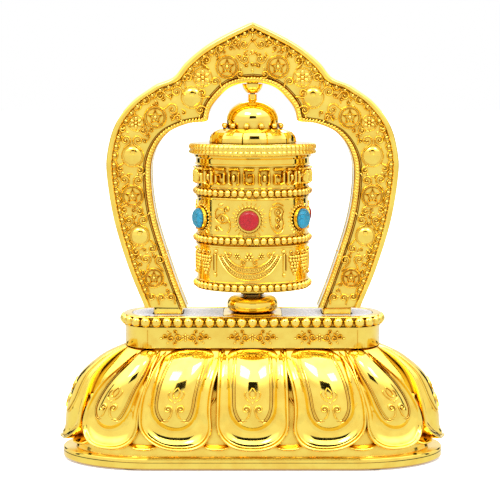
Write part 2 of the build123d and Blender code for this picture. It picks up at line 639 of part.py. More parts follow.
for side, name in ((-1, "left"), (1, "right")):
    with BuildPart() as window:
        with BuildSketch(Plane.XY.offset(WINDOW_BOTTOM)):
            window_sketch(side, 0.1)
            with Locations((side * (FOOT_INNER + FOOT_OUTER) / 2, 0)):
                Rectangle(FOOT_OUTER - FOOT_INNER + 0.4, 2 * ARCH_FOOT_HALF_DEPTH + 0.4, mode=Mode.SUBTRACT)
        extrude(amount=WINDOW_TOP - WINDOW_BOTTOM)
    finish(window, f"window_{name}")
    with BuildPart() as solar_cell:
        block((min(side * CELL_INNER, side * CELL_OUTER), -CELL_HALF, CELL_BOTTOM),
              (max(side * CELL_INNER, side * CELL_OUTER), CELL_HALF, WINDOW_BOTTOM - 0.1))
    finish(solar_cell, f"solar_cell_{name}")

# ---------------------------------------------------------------- boss and lower bearing
WASHER_TOP = 44.9
with BuildPart() as drive_boss:
    rod(0, 0, DECK_TOP, BOSS_TOP, BOSS_RADIUS)
    fillet(drive_boss.edges().group_by(Axis.Z)[-1], 1.7)
    rod(0, 0, DECK_TOP, BOSS_TOP, 3.0 + FIT, mode=Mode.SUBTRACT)
finish(drive_boss, "drive_boss")

with BuildPart() as spindle_bush:
    rod(0, 0, 36.2, BOSS_TOP, 3.0)
    rod(0, 0, 36.2, BOSS_TOP, SPINDLE_RADIUS + RUNNING_GAP, mode=Mode.SUBTRACT)
finish(spindle_bush, "spindle_bush")

with BuildPart() as thrust_washer:
    rod(0, 0, BOSS_TOP + 0.01, WASHER_TOP, 2.6)
    rod(0, 0, BOSS_TOP, WASHER_TOP, SPINDLE_RADIUS + RUNNING_GAP, mode=Mode.SUBTRACT)
finish(thrust_washer, "thrust_washer")

# ---------------------------------------------------------------- arch
OPENING_TOP = 102.45
NOSE = (12.0, 92.2)
STEM_RADIUS = 1.6
STEM_TOP = 106.0
# right-hand outline of the arch as (x, z): crown, shoulder to outer foot, inner foot to nose
CROWN = ((0.0, 118.5), (2.8, 117.3), (7.0, 115.2), (12.6, 112.0), (17.7, 107.8), (21.0, 103.9))
FLANK = (CROWN[-1], (26.6, 101.4), (32.3, 97.2), (36.9, 91.0), (39.0, 83.5), (39.1, 77.0),
         (37.2, 65.1), (33.4, 52.4), (29.2, 42.2))
LOBE = ((17.7, LEG_BOTTOM), (21.1, 50.7), (25.75, 65.7), (27.2, 77.3), (26.2, 83.9), (22.7, 88.9),
        (17.3, 91.4), (12.9, 91.9))


def inset_points(points, inset):
    """Points moved by inset to the right of the direction they run in."""
    moved = []
    for index, (x, z) in enumerate(points):
        before = points[max(index - 1, 0)]
        after = points[min(index + 1, len(points) - 1)]
        run = math.dist(before, after)
        moved.append((x + inset * (after[1] - before[1]) / run, z - inset * (after[0] - before[0]) / run))
    return moved


def arch_face(inset):
    """Face of the whole arch, drawn in by inset along every edge."""
    crown = inset_points(CROWN, inset)
    crown[0] = (0.0, CROWN[0][1] - 1.2 * inset)
    flank = inset_points(FLANK, inset)
    flank[-1] = (FLANK[-1][0] - 0.6 * inset, FLANK[-1][1] + 1.2 * inset)
    lobe = inset_points(LOBE, inset)
    lobe[0] = (LOBE[0][0] + 1.4 * inset, LOBE[0][1] + 1.2 * inset)
    nose = (NOSE[0] + 1.2 * inset, NOSE[1] + 1.1 * inset)
    lobe[-1] = (LOBE[-1][0] + 0.9 * inset, LOBE[-1][1] + 1.2 * inset)
    shift = 0.72 * inset
    with BuildLine() as outline:
        Spline(*crown)
        if inset:
            Line(crown[-1], flank[0])
        Spline(*flank)
        Line(flank[-1], lobe[0])
        Spline(*lobe)
        Line(lobe[-1], nose)
        ThreePointArc((0.0, OPENING_TOP + inset), (9.1 + shift, 98.3 + shift), nose)
        mirror(about=Plane.YZ)
    make_face(outline.edges())


for side, name in ((-1, "front"), (1, "back")):
    face = side * ARCH_HALF_DEPTH
    with BuildPart() as arch_half:
        with BuildSketch(Plane.XZ):
            arch_face(0.0)
        extrude(amount=-face)
        with BuildSketch(Plane.XZ):
            arch_face(ARCH_WALL)
        extrude(amount=-(face - side * ARCH_WALL), mode=Mode.SUBTRACT)
        # foot tenons, solid up into the legs
        for leg in (-1, 1):
            inner = leg * FOOT_INNER
            outer = leg * FOOT_OUTER
            block((min(inner, outer), min(0, side * ARCH_FOOT_HALF_DEPTH), FOOT_BOTTOM),
                  (max(inner, outer), max(0, side * ARCH_FOOT_HALF_DEPTH), LEG_BOTTOM + 0.4))
            block((min(leg * 19.8, leg * 27.4), min(0, face - side * 0.5), LEG_BOTTOM + 0.3),
                  (max(leg * 19.8, leg * 27.4), max(0, face - side * 0.5), 45.5))
        for x, y in ARCH_SCREWS:
            rod(x, y, FOOT_BOTTOM, 42.6, 0.8, mode=Mode.SUBTRACT)
        # seat of the pivot stem
        block((-3.2, min(0, side * 3.2), OPENING_TOP + 0.4), (3.2, max(0, side * 3.2), STEM_TOP + 1.6))
        rod(0, 0, 101.0, STEM_TOP + FIT, STEM_RADIUS + FIT, mode=Mode.SUBTRACT)
    finish(arch_half, f"arch_{name}")

with BuildPart() as arch_screws:
    for x, y in ARCH_SCREWS:
        screw(x, y, 35.2, 1.35, 1.5, 5.8, 0.75)
finish(arch_screws, "arch_screws")

# ---------------------------------------------------------------- upper pivot
CUP_BOTTOM = 99.5
CUP_TOP = 102.0
with BuildPart() as pivot_cup:
    with BuildSketch(Plane.XZ):
        with BuildLine():
            Line((0, CUP_BOTTOM), (1.35, CUP_BOTTOM))
            ThreePointArc((1.35, CUP_BOTTOM), (2.35, 100.6), (2.8, CUP_TOP))
            Line((2.8, CUP_TOP), (STEM_RADIUS, CUP_TOP))
            Line((STEM_RADIUS, CUP_TOP), (STEM_RADIUS, STEM_TOP))
            Line((STEM_RADIUS, STEM_TOP), (0, STEM_TOP))
            Line((0, STEM_TOP), (0, CUP_BOTTOM))
        make_face()
    revolve(axis=Axis.Z)
    rod(0, 0, CUP_BOTTOM, 102.2, 1.12 + 0.02, mode=Mode.SUBTRACT)
finish(pivot_cup, "pivot_cup")

with BuildPart() as pivot_bush:
    rod(0, 0, CUP_BOTTOM + 0.1, 102.1, 1.12)
    rod(0, 0, CUP_BOTTOM + 0.1, 101.7, PIVOT_PIN_RADIUS + RUNNING_GAP, mode=Mode.SUBTRACT)
finish(pivot_bush, "pivot_bush")

# ---------------------------------------------------------------- drum
with BuildPart() as spindle:
    rod(0, 0, FRAME_BOTTOM + 0.2, 84.0, SPINDLE_RADIUS)
finish(spindle, "spindle")

with BuildPart() as spindle_collar:
    foot = WASHER_TOP + 0.05
    bore = SPINDLE_RADIUS + 0.01
    ring_profile(((bore, foot), (3.1, foot), (3.65, 45.5), (3.65, 46.85), (bore, 46.85)))
finish(spindle_collar, "spindle_collar")

with BuildPart() as drum_base:
    rod(0, 0, 47.3, 48.8, DRUM_RADIUS - DRUM_WALL - FIT)
    rod(0, 0, 46.9, 50.0, 3.4)
    rod(0, 0, 46.9, 50.0, SPINDLE_RADIUS + 0.01, mode=Mode.SUBTRACT)
finish(drum_base, "drum_base")

JEWEL_ANGLES = [FIRST_JEWEL_ANGLE + 60 * index for index in range(6)]


def radial_plane(angle, distance):
    """Plane square to the drum's radius at an angle, facing outwards at jewel height."""
    direction = Vector(math.cos(math.radians(angle)), math.sin(math.radians(angle)), 0)
    origin = direction * distance + Vector(0, 0, JEWEL_HEIGHT)
    return Plane(origin=origin, x_dir=(-direction.Y, direction.X, 0), z_dir=direction)


with BuildPart() as drum_shell:
    rod(0, 0, DRUM_BOTTOM, DRUM_TOP, DRUM_RADIUS)
    for height in BEAD_ROW_HEIGHTS:
        with Locations((0, 0, height)):
            Torus(DRUM_RADIUS + 0.05, BEAD_ROW_RADIUS)
    for angle in JEWEL_ANGLES:
        with BuildSketch(radial_plane(angle, DRUM_RADIUS - 1.0)):
            Circle(3.4)
        extrude(amount=JEWEL_SEAT - DRUM_RADIUS + 1.0 - 0.01)
    rod(0, 0, DRUM_BOTTOM, DRUM_TOP, DRUM_RADIUS - DRUM_WALL, mode=Mode.SUBTRACT)
finish(drum_shell, "drum_shell")

with BuildPart() as jewel_bezels:
    for angle in JEWEL_ANGLES:
        with BuildSketch(radial_plane(angle, JEWEL_SEAT)):
            Circle(JEWEL_RADIUS + 0.4)
            Circle(JEWEL_RADIUS + FIT, mode=Mode.SUBTRACT)
        extrude(amount=0.9)
finish(jewel_bezels, "jewel_bezels")

for first, name in ((0, "coral_jewels"), (1, "turquoise_jewels")):
    with BuildPart() as jewels:
        for angle in JEWEL_ANGLES[first::2]:
            with BuildSketch(radial_plane(angle, JEWEL_SEAT)):
                Circle(JEWEL_RADIUS)
            extrude(amount=JEWEL_CROWN - JEWEL_SEAT)
        circles = jewels.edges().filter_by(GeomType.CIRCLE)
        crown = JEWEL_CROWN - 0.1
        crowns = circles.filter_by(lambda edge: math.hypot(edge.arc_center.X, edge.arc_center.Y) > crown)
        fillet(crowns, 1.4)
    finish(jewels, name)

with BuildPart() as scroll_core:
    rod(0, 0, 50.1, 81.4, 2.6)
    rod(0, 0, 50.1, 81.4, SPINDLE_RADIUS + 0.02, mode=Mode.SUBTRACT)
finish(scroll_core, "scroll_core")

with BuildPart() as prayer_scroll:
    rod(0, 0, 51.0, 80.5, 12.4)
    rod(0, 0, 51.0, 80.5, 2.65, mode=Mode.SUBTRACT)
finish(prayer_scroll, "prayer_scroll")

with BuildPart() as drum_lid:
    rod(0, 0, DRUM_TOP + 0.01, FLANGE_TOP, FLANGE_RADIUS)
    fillet(drum_lid.edges().group_by(Axis.Z)[-1], 0.7)
    chamfer(drum_lid.edges().group_by(Axis.Z)[0], 0.9)
    rod(0, 0, 81.6, DRUM_TOP + 0.5, DRUM_RADIUS - DRUM_WALL - FIT)
    rod(0, 0, 81.6, 82.2, 11.0, mode=Mode.SUBTRACT)
    rod(0, 0, 81.6, 82.2, 3.0)
    rod(0, 0, 81.5, 84.1, SPINDLE_RADIUS + 0.01, mode=Mode.SUBTRACT)
    rod(0, 0, 85.2, FLANGE_TOP, 6.6, mode=Mode.SUBTRACT)
finish(drum_lid, "drum_lid")

# ---------------------------------------------------------------- roof of the drum
ROOF_TOP = 90.0
with BuildPart() as roof_collar:
    with BuildSketch(Plane.XY.offset(FLANGE_TOP + 0.01)):
        RegularPolygon(ROOF_RADIUS, ROOF_FACETS, rotation=ROOF_TURN)
    extrude(amount=88.7 - FLANGE_TOP)
    with BuildSketch(Plane.XY.offset(88.7)):
        RegularPolygon(ROOF_RADIUS, ROOF_FACETS, rotation=ROOF_TURN)
    with BuildSketch(Plane.XY.offset(ROOF_TOP)):
        RegularPolygon(8.95, ROOF_FACETS, rotation=ROOF_TURN)
    loft()
    rod(0, 0, FLANGE_TOP, 88.4, 9.2, mode=Mode.SUBTRACT)
    rod(0, 0, FLANGE_TOP, ROOF_TOP, 3.0, mode=Mode.SUBTRACT)
finish(roof_collar, "roof_collar")

ROOF_BEAD_RADIUS = 0.85
with BuildPart() as roof_beads:
    with Locations((0, 0, ROOF_TOP + ROOF_BEAD_RADIUS + 0.02)):
        with PolarLocations(8.0, 12, start_angle=-88.0):
            Sphere(ROOF_BEAD_RADIUS)
finish(roof_beads, "roof_beads")

with BuildPart() as dome:
    with BuildSketch(Plane.XZ):
        with BuildLine():
            Line((0, ROOF_TOP + 0.01), (DOME_RADIUS - 0.1, ROOF_TOP + 0.01))
            Line((DOME_RADIUS - 0.1, ROOF_TOP + 0.01), (DOME_RADIUS, DOME_CENTRE))
            EllipticalCenterArc((0, DOME_CENTRE), DOME_RADIUS, DOME_RISE, start_angle=0, arc_size=90)
            Line((0, DOME_CENTRE + DOME_RISE), (0, ROOF_TOP + 0.01))
        make_face()
    revolve(axis=Axis.Z)
    with BuildSketch(Plane.XZ):
        with BuildLine():
            Line((0, ROOF_TOP), (DOME_RADIUS - 1.3, ROOF_TOP))
            Line((DOME_RADIUS - 1.3, ROOF_TOP), (DOME_RADIUS - 1.2, DOME_CENTRE))
            EllipticalCenterArc((0, DOME_CENTRE), DOME_RADIUS - 1.2, DOME_RISE - 1.6,
                                start_angle=0, arc_size=90)
            Line((0, DOME_CENTRE + DOME_RISE - 1.6), (0, ROOF_TOP))
        make_face()
    revolve(axis=Axis.Z, mode=Mode.SUBTRACT)
    rod(0, 0, 95.0, 98.0, PIVOT_PIN_RADIUS + 0.01, mode=Mode.SUBTRACT)
    rod(0, 0, 97.3, 98.0, 3.0, mode=Mode.SUBTRACT)
finish(dome, "dome")

NECK_TOP = 99.2
with BuildPart() as finial_neck:
    with BuildSketch(Plane.XZ):
        with BuildLine():
            Line((PIVOT_PIN_RADIUS + 0.01, 97.31), (1.9, 97.31))
            ThreePointArc((1.9, 97.31), (1.32, 97.6), (1.18, 98.2))
            Line((1.18, 98.2), (1.18, NECK_TOP))
            Line((1.18, NECK_TOP), (PIVOT_PIN_RADIUS + 0.01, NECK_TOP))
            Line((PIVOT_PIN_RADIUS + 0.01, NECK_TOP), (PIVOT_PIN_RADIUS + 0.01, 97.31))
        make_face()
    revolve(axis=Axis.Z)
finish(finial_neck, "finial_neck")

with BuildPart() as top_pivot_pin:
    rod(0, 0, 96.0, 101.6, PIVOT_PIN_RADIUS)
finish(top_pivot_pin, "top_pivot_pin")
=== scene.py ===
"""Looks of a solar prayer wheel: a jewelled drum under an ogee arch, on a lotus base.

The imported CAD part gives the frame. This script lays detailed pieces over its plain shapes, gives
every piece a finish, and sets a plain studio. Sizes in the classes are in millimetres.
"""

import logging
import math
from collections.abc import Callable, Sequence
from dataclasses import dataclass, field, replace
from enum import Enum

import bmesh
import bpy
import numpy as np
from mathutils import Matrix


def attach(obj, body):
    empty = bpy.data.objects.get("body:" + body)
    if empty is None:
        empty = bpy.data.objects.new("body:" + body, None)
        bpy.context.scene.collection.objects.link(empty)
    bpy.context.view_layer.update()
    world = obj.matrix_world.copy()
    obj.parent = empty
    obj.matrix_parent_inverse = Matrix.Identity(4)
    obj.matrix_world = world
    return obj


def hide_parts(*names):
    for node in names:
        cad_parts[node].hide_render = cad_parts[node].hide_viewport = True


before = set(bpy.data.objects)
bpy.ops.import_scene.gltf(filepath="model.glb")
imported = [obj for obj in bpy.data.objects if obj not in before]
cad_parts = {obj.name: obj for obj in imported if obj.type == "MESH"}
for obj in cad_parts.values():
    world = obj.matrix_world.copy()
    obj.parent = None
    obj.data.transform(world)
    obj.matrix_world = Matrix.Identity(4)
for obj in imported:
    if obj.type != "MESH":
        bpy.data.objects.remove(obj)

MM = 0.001
LINE_POINTS = 30  # samples along each raised line
LOBE_SPREAD = 1.42  # how far a petal's lobe spreads, as a share of its half width
FILLING_TURN = 137.0  # turn from one small curl of the arch to the next, in degrees
TRACK_TURN = 60.0  # and from one line of them to the next
TALL_LOBE = 4.6  # half width of a tall petal's lobe, which the petal's drawing is made for
log = logging.getLogger("prayer_wheel")

Array = np.ndarray
Place = Callable[[Array, Array, Array], Array]


# ---------------------------------------------------------------- curves in a plane
def smooth_curve(keys: Sequence[Sequence[float]], count: int) -> Array:
    """Samples a smooth line through key points.

    Between two keys the line is the cubic whose slope at each key is half the step between that
    key's neighbours.

    Args:
        keys: key points, one row each.
        count: number of samples.

    Returns:
        Array of count points.
    """
    points = np.asarray(keys, float)
    padded = np.vstack([2 * points[0] - points[1], points, 2 * points[-1] - points[-2]])
    along = np.linspace(0, len(points) - 1, count)
    first = np.minimum(along.astype(int), len(points) - 2)
    part = (along - first)[:, None]
    before, start, end, after = (padded[first + i] for i in range(4))
    linear = (end - before) * part
    square = (2 * before - 5 * start + 4 * end - after) * part**2
    cube = (3 * start - before - 3 * end + after) * part**3
    return 0.5 * (2 * start + linear + square + cube)


def spaced(points: Array, count: int) -> Array:
    """Moves along a line in equal steps.

    Args:
        points: the line, one row for each point.
        count: number of points wanted.

    Returns:
        Array of count points at equal distances along the line.
    """
    steps = np.linalg.norm(np.diff(points, axis=0), axis=1)
    travelled = np.concatenate([[0.0], np.cumsum(steps)])
    wanted = np.linspace(0.0, travelled[-1], count)
    columns = [np.interp(wanted, travelled, column) for column in points.T]
    return np.stack(columns, axis=1)


def arc(centre: tuple[float, float], radius: float, start: float, end: float) -> Array:
    """Circular arc about centre from start to end, in degrees."""
    turn = np.radians(np.linspace(start, end, 25))
    return np.stack([centre[0] + radius * np.cos(turn), centre[1] + radius * np.sin(turn)], axis=1)


def curl(
    centre: tuple[float, float], radius: float, start: float, turns: float, tail: float = 0.0
) -> Array:
    """Draws a spiral that winds in to its eye, with a tail that leads up to it.

    The radius falls from full to a fifth in a straight line as the angle grows, and the tail runs
    in along the tangent of the outer end.

    Args:
        centre: eye of the spiral.
        radius: outer radius.
        start: angle of the outer end, in degrees.
        turns: number of turns, negative for a clockwise spiral.
        tail: length of the tail.

    Returns:
        Array of points from the tail's end to the eye.
    """
    part = np.linspace(0, 1, 40)
    angle = math.radians(start) + part * turns * 2 * math.pi
    reach = radius * (1 - 0.8 * part)
    spiral = np.stack([centre[0] + reach * np.cos(angle), centre[1] + reach * np.sin(angle)], axis=1)
    if tail <= 0:
        return spiral
    back = -np.array([-math.sin(angle[0]), math.cos(angle[0])]) * math.copysign(1, turns)
    away = np.array([math.cos(angle[0]), math.sin(angle[0])])
    run = np.linspace(1, 0, 12)[:-1, None]
    lead = spiral[0] + back * tail * run + away * 0.35 * tail * run**2
    return np.vstack([lead, spiral])


def star_line(centre: tuple[float, float], outer: float, inner: float, tips: int) -> Array:
    """Draws the closed outline of a star, its first tip upwards.

    The radius is in turn outer and inner at equal angles.

    Args:
        centre: middle of the star.
        outer: radius of the tips.
        inner: radius of the notches.
        tips: number of tips.

    Returns:
        Array of points along the outline.
    """
    turn = np.radians(90 + np.arange(2 * tips + 1) * 180 / tips)
    reach = np.where(np.arange(2 * tips + 1) % 2 == 0, outer, inner)
    corners = np.stack([centre[0] + reach * np.cos(turn), centre[1] + reach * np.sin(turn)], axis=1)
    return spaced(corners, 8 * tips + 1)


# ---------------------------------------------------------------- flat ornament
@dataclass
class Ornament:
    """Flat ornament of raised lines and studs, drawn in two lengths and later laid on a surface."""

    lines: list[Array] = field(default_factory=list)
    line_sizes: list[tuple[float, float]] = field(default_factory=list)
    studs: list[tuple[float, float, float, float, float, float]] = field(default_factory=list)

    def line(self, points: Array, half_width: float = 0.2, rise: float = 0.35) -> None:
        """Adds a half-round line; one that ends where it starts is a closed loop."""
        self.lines.append(spaced(np.asarray(points, float), LINE_POINTS))
        self.line_sizes.append((half_width, rise))

    def stud(
        self, u: float, v: float, reach: float, rise: float, across: float = 0.0, turn: float = 0.0
    ) -> None:
        """Adds a domed stud, oval when across is given, its long axis turned in degrees."""
        self.studs.append((u, v, reach, across or reach, rise, math.radians(turn)))

    def add(
        self,
        other: "Ornament",
        shift: tuple[float, float] = (0.0, 0.0),
        mirror: bool = False,
        turn: float = 0.0,
    ) -> None:
        """Adds a copy of another ornament.

        Args:
            other: ornament to copy.
            shift: move of the copy, after mirroring and turning.
            mirror: swaps left and right.
            turn: turn of the copy, in degrees anticlockwise.
        """
        side = -1.0 if mirror else 1.0
        angle = math.radians(turn)
        spin = np.array([[math.cos(angle), math.sin(angle)], [-math.sin(angle), math.cos(angle)]])
        flip = np.array([side, 1.0])
        self.lines += [(points * flip) @ spin + np.array(shift) for points in other.lines]
        self.line_sizes += other.line_sizes
        for u, v, reach, across, rise, own in other.studs:
            spot = (np.array([u, v]) * flip) @ spin + np.array(shift)
            self.studs.append((spot[0], spot[1], reach, across, rise, side * own + angle))

    def line_grids(self, place: Place, sink: float = 0.3) -> Array:
        """Sweeps a half-round section along every line at once.

        Each section is five points on a half ellipse and two base points sunk under the surface.
        Towards an open end the section shrinks as the square root of the distance left.

        Args:
            place: puts (u, v, height) on the surface.
            sink: depth of the base under the surface.

        Returns:
            Array (lines, samples, section, 3).
        """
        paths = np.stack(self.lines)
        sizes = np.array(self.line_sizes)
        slope = np.gradient(paths, axis=1)
        closed = np.linalg.norm(paths[:, 0] - paths[:, -1], axis=1) < 1e-6
        joined = (paths[:, 1] - paths[:, -2]) / 2
        slope[:, 0] = np.where(closed[:, None], joined, slope[:, 0])
        slope[:, -1] = np.where(closed[:, None], joined, slope[:, -1])
        slope /= np.maximum(np.linalg.norm(slope, axis=2, keepdims=True), 1e-9)
        part = np.linspace(0, 1, paths.shape[1])
        left = np.clip(np.minimum(part, 1 - part) / 0.09, 0, 1) ** 0.5
        taper = np.where(closed[:, None], 1.0, left[None, :])
        angle = np.linspace(0, math.pi, 5)
        across = np.concatenate([np.cos(angle), [-1.0, 1.0]])
        top = np.concatenate([np.sin(angle), [0.0, 0.0]])
        base = np.concatenate([np.zeros(5), [-sink, -sink]])
        shift = sizes[:, 0, None, None] * taper[:, :, None] * across
        height = sizes[:, 1, None, None] * taper[:, :, None] * top + base
        u = paths[:, :, 0, None] - slope[:, :, 1, None] * shift
        v = paths[:, :, 1, None] + slope[:, :, 0, None] * shift
        return place(u, v, height)

    def stud_grids(self, place: Place, rows: int = 6, columns: int = 10) -> Array:
        """Lays every stud at once.

        Each is a squashed sphere: the angle down from its pole gives height and reach, and the
        half below the surface is only a third as deep.

        Args:
            place: puts (u, v, height) on the surface.
            rows: steps from pole to pole.
            columns: steps round.

        Returns:
            Array (studs, rows + 1, columns, 3).
        """
        table = np.array(self.studs)
        down = np.linspace(0, math.pi, rows + 1)[:, None]
        circle = np.linspace(0, 2 * math.pi, columns, endpoint=False)[None, :]
        x, y = np.sin(down) * np.cos(circle), np.sin(down) * np.sin(circle)
        level = np.cos(down) + 0 * circle
        level = np.where(level > 0, level, 0.35 * level)
        reach, across, rise, turn = (table[:, i, None, None] for i in range(2, 6))
        u = table[:, 0, None, None] + reach * x * np.cos(turn) - across * y * np.sin(turn)
        v = table[:, 1, None, None] + reach * x * np.sin(turn) + across * y * np.cos(turn)
        return place(u, v, rise * level)


# ---------------------------------------------------------------- meshes from arrays
class Sculpt:
    """One piece under construction: grids of points joined into a mesh in one go."""

    def __init__(self) -> None:
        """Starts with nothing."""
        self.points: list[Array] = []
        self.quads: list[Array] = []
        self.slots: list[Array] = []
        self.count = 0

    def grids(
        self, grids: Array, slot: int = 0, wrap_rows: bool = False, wrap_columns: bool = False
    ) -> "Sculpt":
        """Adds one grid or a stack of grids of the same size.

        Args:
            grids: array (rows, columns, 3) or (copies, rows, columns, 3), in millimetres.
            slot: number of the finish that these faces take.
            wrap_rows: joins the last row to the first.
            wrap_columns: joins the last column to the first.

        Returns:
            This sculpt, so that calls can follow one another.
        """
        stack = grids[None] if grids.ndim == 3 else grids
        copies, rows, columns, _ = stack.shape
        index = np.arange(copies * rows * columns).reshape(copies, rows, columns)
        if wrap_rows:
            index = np.concatenate([index, index[:, :1]], axis=1)
        if wrap_columns:
            index = np.concatenate([index, index[:, :, :1]], axis=2)
        corners = (index[:, :-1, :-1], index[:, :-1, 1:], index[:, 1:, 1:], index[:, 1:, :-1])
        quads = np.stack(corners, axis=-1).reshape(-1, 4) + self.count
        self.points.append(stack.reshape(-1, 3))
        self.quads.append(quads)
        self.slots.append(np.full(len(quads), slot))
        self.count += copies * rows * columns
        return self

    def ornament(self, ornament: Ornament, place: Place, slot: int = 0) -> "Sculpt":
        """Lays an ornament's lines and studs on a surface.

        Args:
            ornament: the flat ornament.
            place: puts (u, v, height) on the surface.
            slot: number of the finish that it takes.

        Returns:
            This sculpt, so that calls can follow one another.
        """
        if ornament.lines:
            self.grids(ornament.line_grids(place), slot, wrap_columns=True)
        if ornament.studs:
            self.grids(ornament.stud_grids(place), slot, wrap_columns=True)
        return self

    def build(
        self,
        name: str,
        body: str,
        finishes: Sequence["Finish"],
        replaces: Sequence[str] = (),
        crease: float = 45.0,
    ) -> bpy.types.Object:
        """Writes the mesh, closes its seams and poles, and hands the piece to the frame.

        Args:
            name: name of the piece.
            body: CAD body it rides on.
            finishes: finish of each slot.
            replaces: CAD nodes it stands for.
            crease: angle in degrees past which an edge is sharp.

        Returns:
            The new object.
        """
        points, quads = np.concatenate(self.points) * MM, np.concatenate(self.quads)
        mesh = bpy.data.meshes.new(name)
        mesh.vertices.add(len(points))
        mesh.vertices.foreach_set("co", points.astype(np.float32).ravel())
        mesh.loops.add(quads.size)
        mesh.loops.foreach_set("vertex_index", quads.astype(np.int32).ravel())
        mesh.polygons.add(len(quads))
        mesh.polygons.foreach_set("loop_start", np.arange(0, quads.size, 4, dtype=np.int32))
        mesh.polygons.foreach_set("material_index", np.concatenate(self.slots).astype(np.int32))
        mesh.update(calc_edges=True)
        work = bmesh.new()
        work.from_mesh(mesh)
        bmesh.ops.remove_doubles(work, verts=work.verts, dist=2e-7)
        bmesh.ops.dissolve_degenerate(work, edges=work.edges, dist=1e-8)
        bmesh.ops.recalc_face_normals(work, faces=work.faces)
        work.to_mesh(mesh)
        work.free()
        mesh.polygons.foreach_set("use_smooth", np.ones(len(mesh.polygons), bool))
        mesh.set_sharp_from_angle(angle=math.radians(crease))
        for finish in finishes:
            mesh.materials.append(finish.material())
        piece = bpy.data.objects.new(name, mesh)
        bpy.context.scene.collection.objects.link(piece)
        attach(piece, body)
        if replaces:
            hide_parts(*replaces)
        return piece


def revolve(profile: Sequence[tuple[float, float]], columns: int, samples: int = 0) -> Array:
    """Turns a profile of (radius, height) about the upright axis.

    Args:
        profile: the profile, from one end to the other.
        columns: steps round.
        samples: number of points of a smooth curve through the profile, or 0 to keep its corners.

    Returns:
        Array (rows, columns, 3); a radius of 0 gives a pole.
    """
    line = smooth_curve(profile, samples) if samples else np.array(profile, float)
    turn = np.linspace(0, 2 * math.pi, columns, endpoint=False)
    x, y = line[:, 0, None] * np.cos(turn), line[:, 0, None] * np.sin(turn)
    return np.stack([x, y, line[:, 1, None] + 0 * x], axis=-1)


def bead(radius: float, rows: int, columns: int) -> Array:
    """Turns a small ball about the upright axis, its middle at the origin.

    Args:
        radius: radius of the ball.
        rows: points from pole to pole.
        columns: steps round.

    Returns:
        Array (rows, columns, 3).
    """
    down = np.linspace(0, math.pi, rows)
    return revolve([(radius * math.sin(a), radius * math.cos(a)) for a in down], columns)


# ---------------------------------------------------------------- finishes
class NodeDesk:
    """Adds and wires shader nodes in one tree."""

    def __init__(self, tree: bpy.types.NodeTree) -> None:
        """Works on the given tree."""
        self.tree = tree

    def add(self, kind: str, inputs: dict | None = None, **settings: object) -> bpy.types.Node:
        """Adds a node.

        Args:
            kind: Blender's name of the node.
            inputs: values or sockets for its inputs, by name or number.
            settings: other settings of the node.

        Returns:
            The node.
        """
        node = self.tree.nodes.new(kind)
        for name, value in settings.items():
            setattr(node, name, value)
        for name, value in (inputs or {}).items():
            if isinstance(value, bpy.types.NodeSocket):
                self.tree.links.new(value, node.inputs[name])
            else:
                node.inputs[name].default_value = value
        return node

    def math(self, operation: str, first: object, second: object = 0.0) -> bpy.types.NodeSocket:
        """Adds a Math node and returns its result."""
        return self.add("ShaderNodeMath", {0: first, 1: second}, operation=operation).outputs[0]

    def span(self, value: object, low: float, high: float, start: float, end: float) -> object:
        """Maps low..high of a value on to start..end, smoothly and held at both ends.

        Args:
            value: number or socket to map.
            low: value that gives start.
            high: value that gives end.
            start: result at low and below.
            end: result at high and above.

        Returns:
            Socket of the result.
        """
        node = self.add(
            "ShaderNodeMapRange",
            {"Value": value, 1: low, 2: high, 3: start, 4: end},
            interpolation_type="SMOOTHSTEP",
        )
        return node.outputs[0]

    def blend(self, share: object, first: object, second: object) -> bpy.types.NodeSocket:
        """Mixes two colours by a share and returns the colour."""
        node = self.add("ShaderNodeMix", {0: share, 6: first, 7: second}, data_type="RGBA")
        return node.outputs[2]


def shared_group(
    name: str,
    inputs: dict[str, float],
    outputs: dict[str, str],
    fill: Callable[[NodeDesk, bpy.types.Node], dict[str, bpy.types.NodeSocket]],
) -> bpy.types.NodeTree:
    """Makes a shader node group once and returns it each time.

    Args:
        name: name of the group.
        inputs: number inputs and their values when nothing is given.
        outputs: output names and their socket types.
        fill: builds the inside and returns the socket for each output.

    Returns:
        The group.
    """
    if name in bpy.data.node_groups:
        return bpy.data.node_groups[name]
    group = bpy.data.node_groups.new(name, "ShaderNodeTree")
    for label, value in inputs.items():
        socket = group.interface.new_socket(label, in_out="INPUT", socket_type="NodeSocketFloat")
        socket.default_value = value
    for label, kind in outputs.items():
        group.interface.new_socket(label, in_out="OUTPUT", socket_type=kind)
    desk = NodeDesk(group)
    made = fill(desk, group.nodes.new("NodeGroupInput"))
    end = group.nodes.new("NodeGroupOutput")
    for label, socket in made.items():
        group.links.new(socket, end.inputs[label])
    return group


def crevice_shade_group() -> bpy.types.NodeTree:
    """Makes the painted-shade group: its mask is 0 on open faces and 1 deep in the relief, where shade
    falls.

    Returns:
        The group.
    """

    def fill(desk: NodeDesk, start: bpy.types.Node) -> dict[str, bpy.types.NodeSocket]:
        """Reads how much of the space round each point is closed in, by ambient occlusion, to paint
        shade there.

        Args:
            desk: where the nodes go.
            start: the group's inputs.

        Returns:
            Socket of the mask.
        """
        near = desk.add(
            "ShaderNodeAmbientOcclusion", {"Distance": start.outputs["Reach"]}, samples=6
        )
        # Painted shade: closed-in points get a mask of 1, which darkens their colour.
        return {"Mask": desk.span(near.outputs["AO"], 0.35, 0.95, 1.0, 0.0)}

    return shared_group("crevice_shade", {"Reach": 0.0012}, {"Mask": "NodeSocketFloat"}, fill)


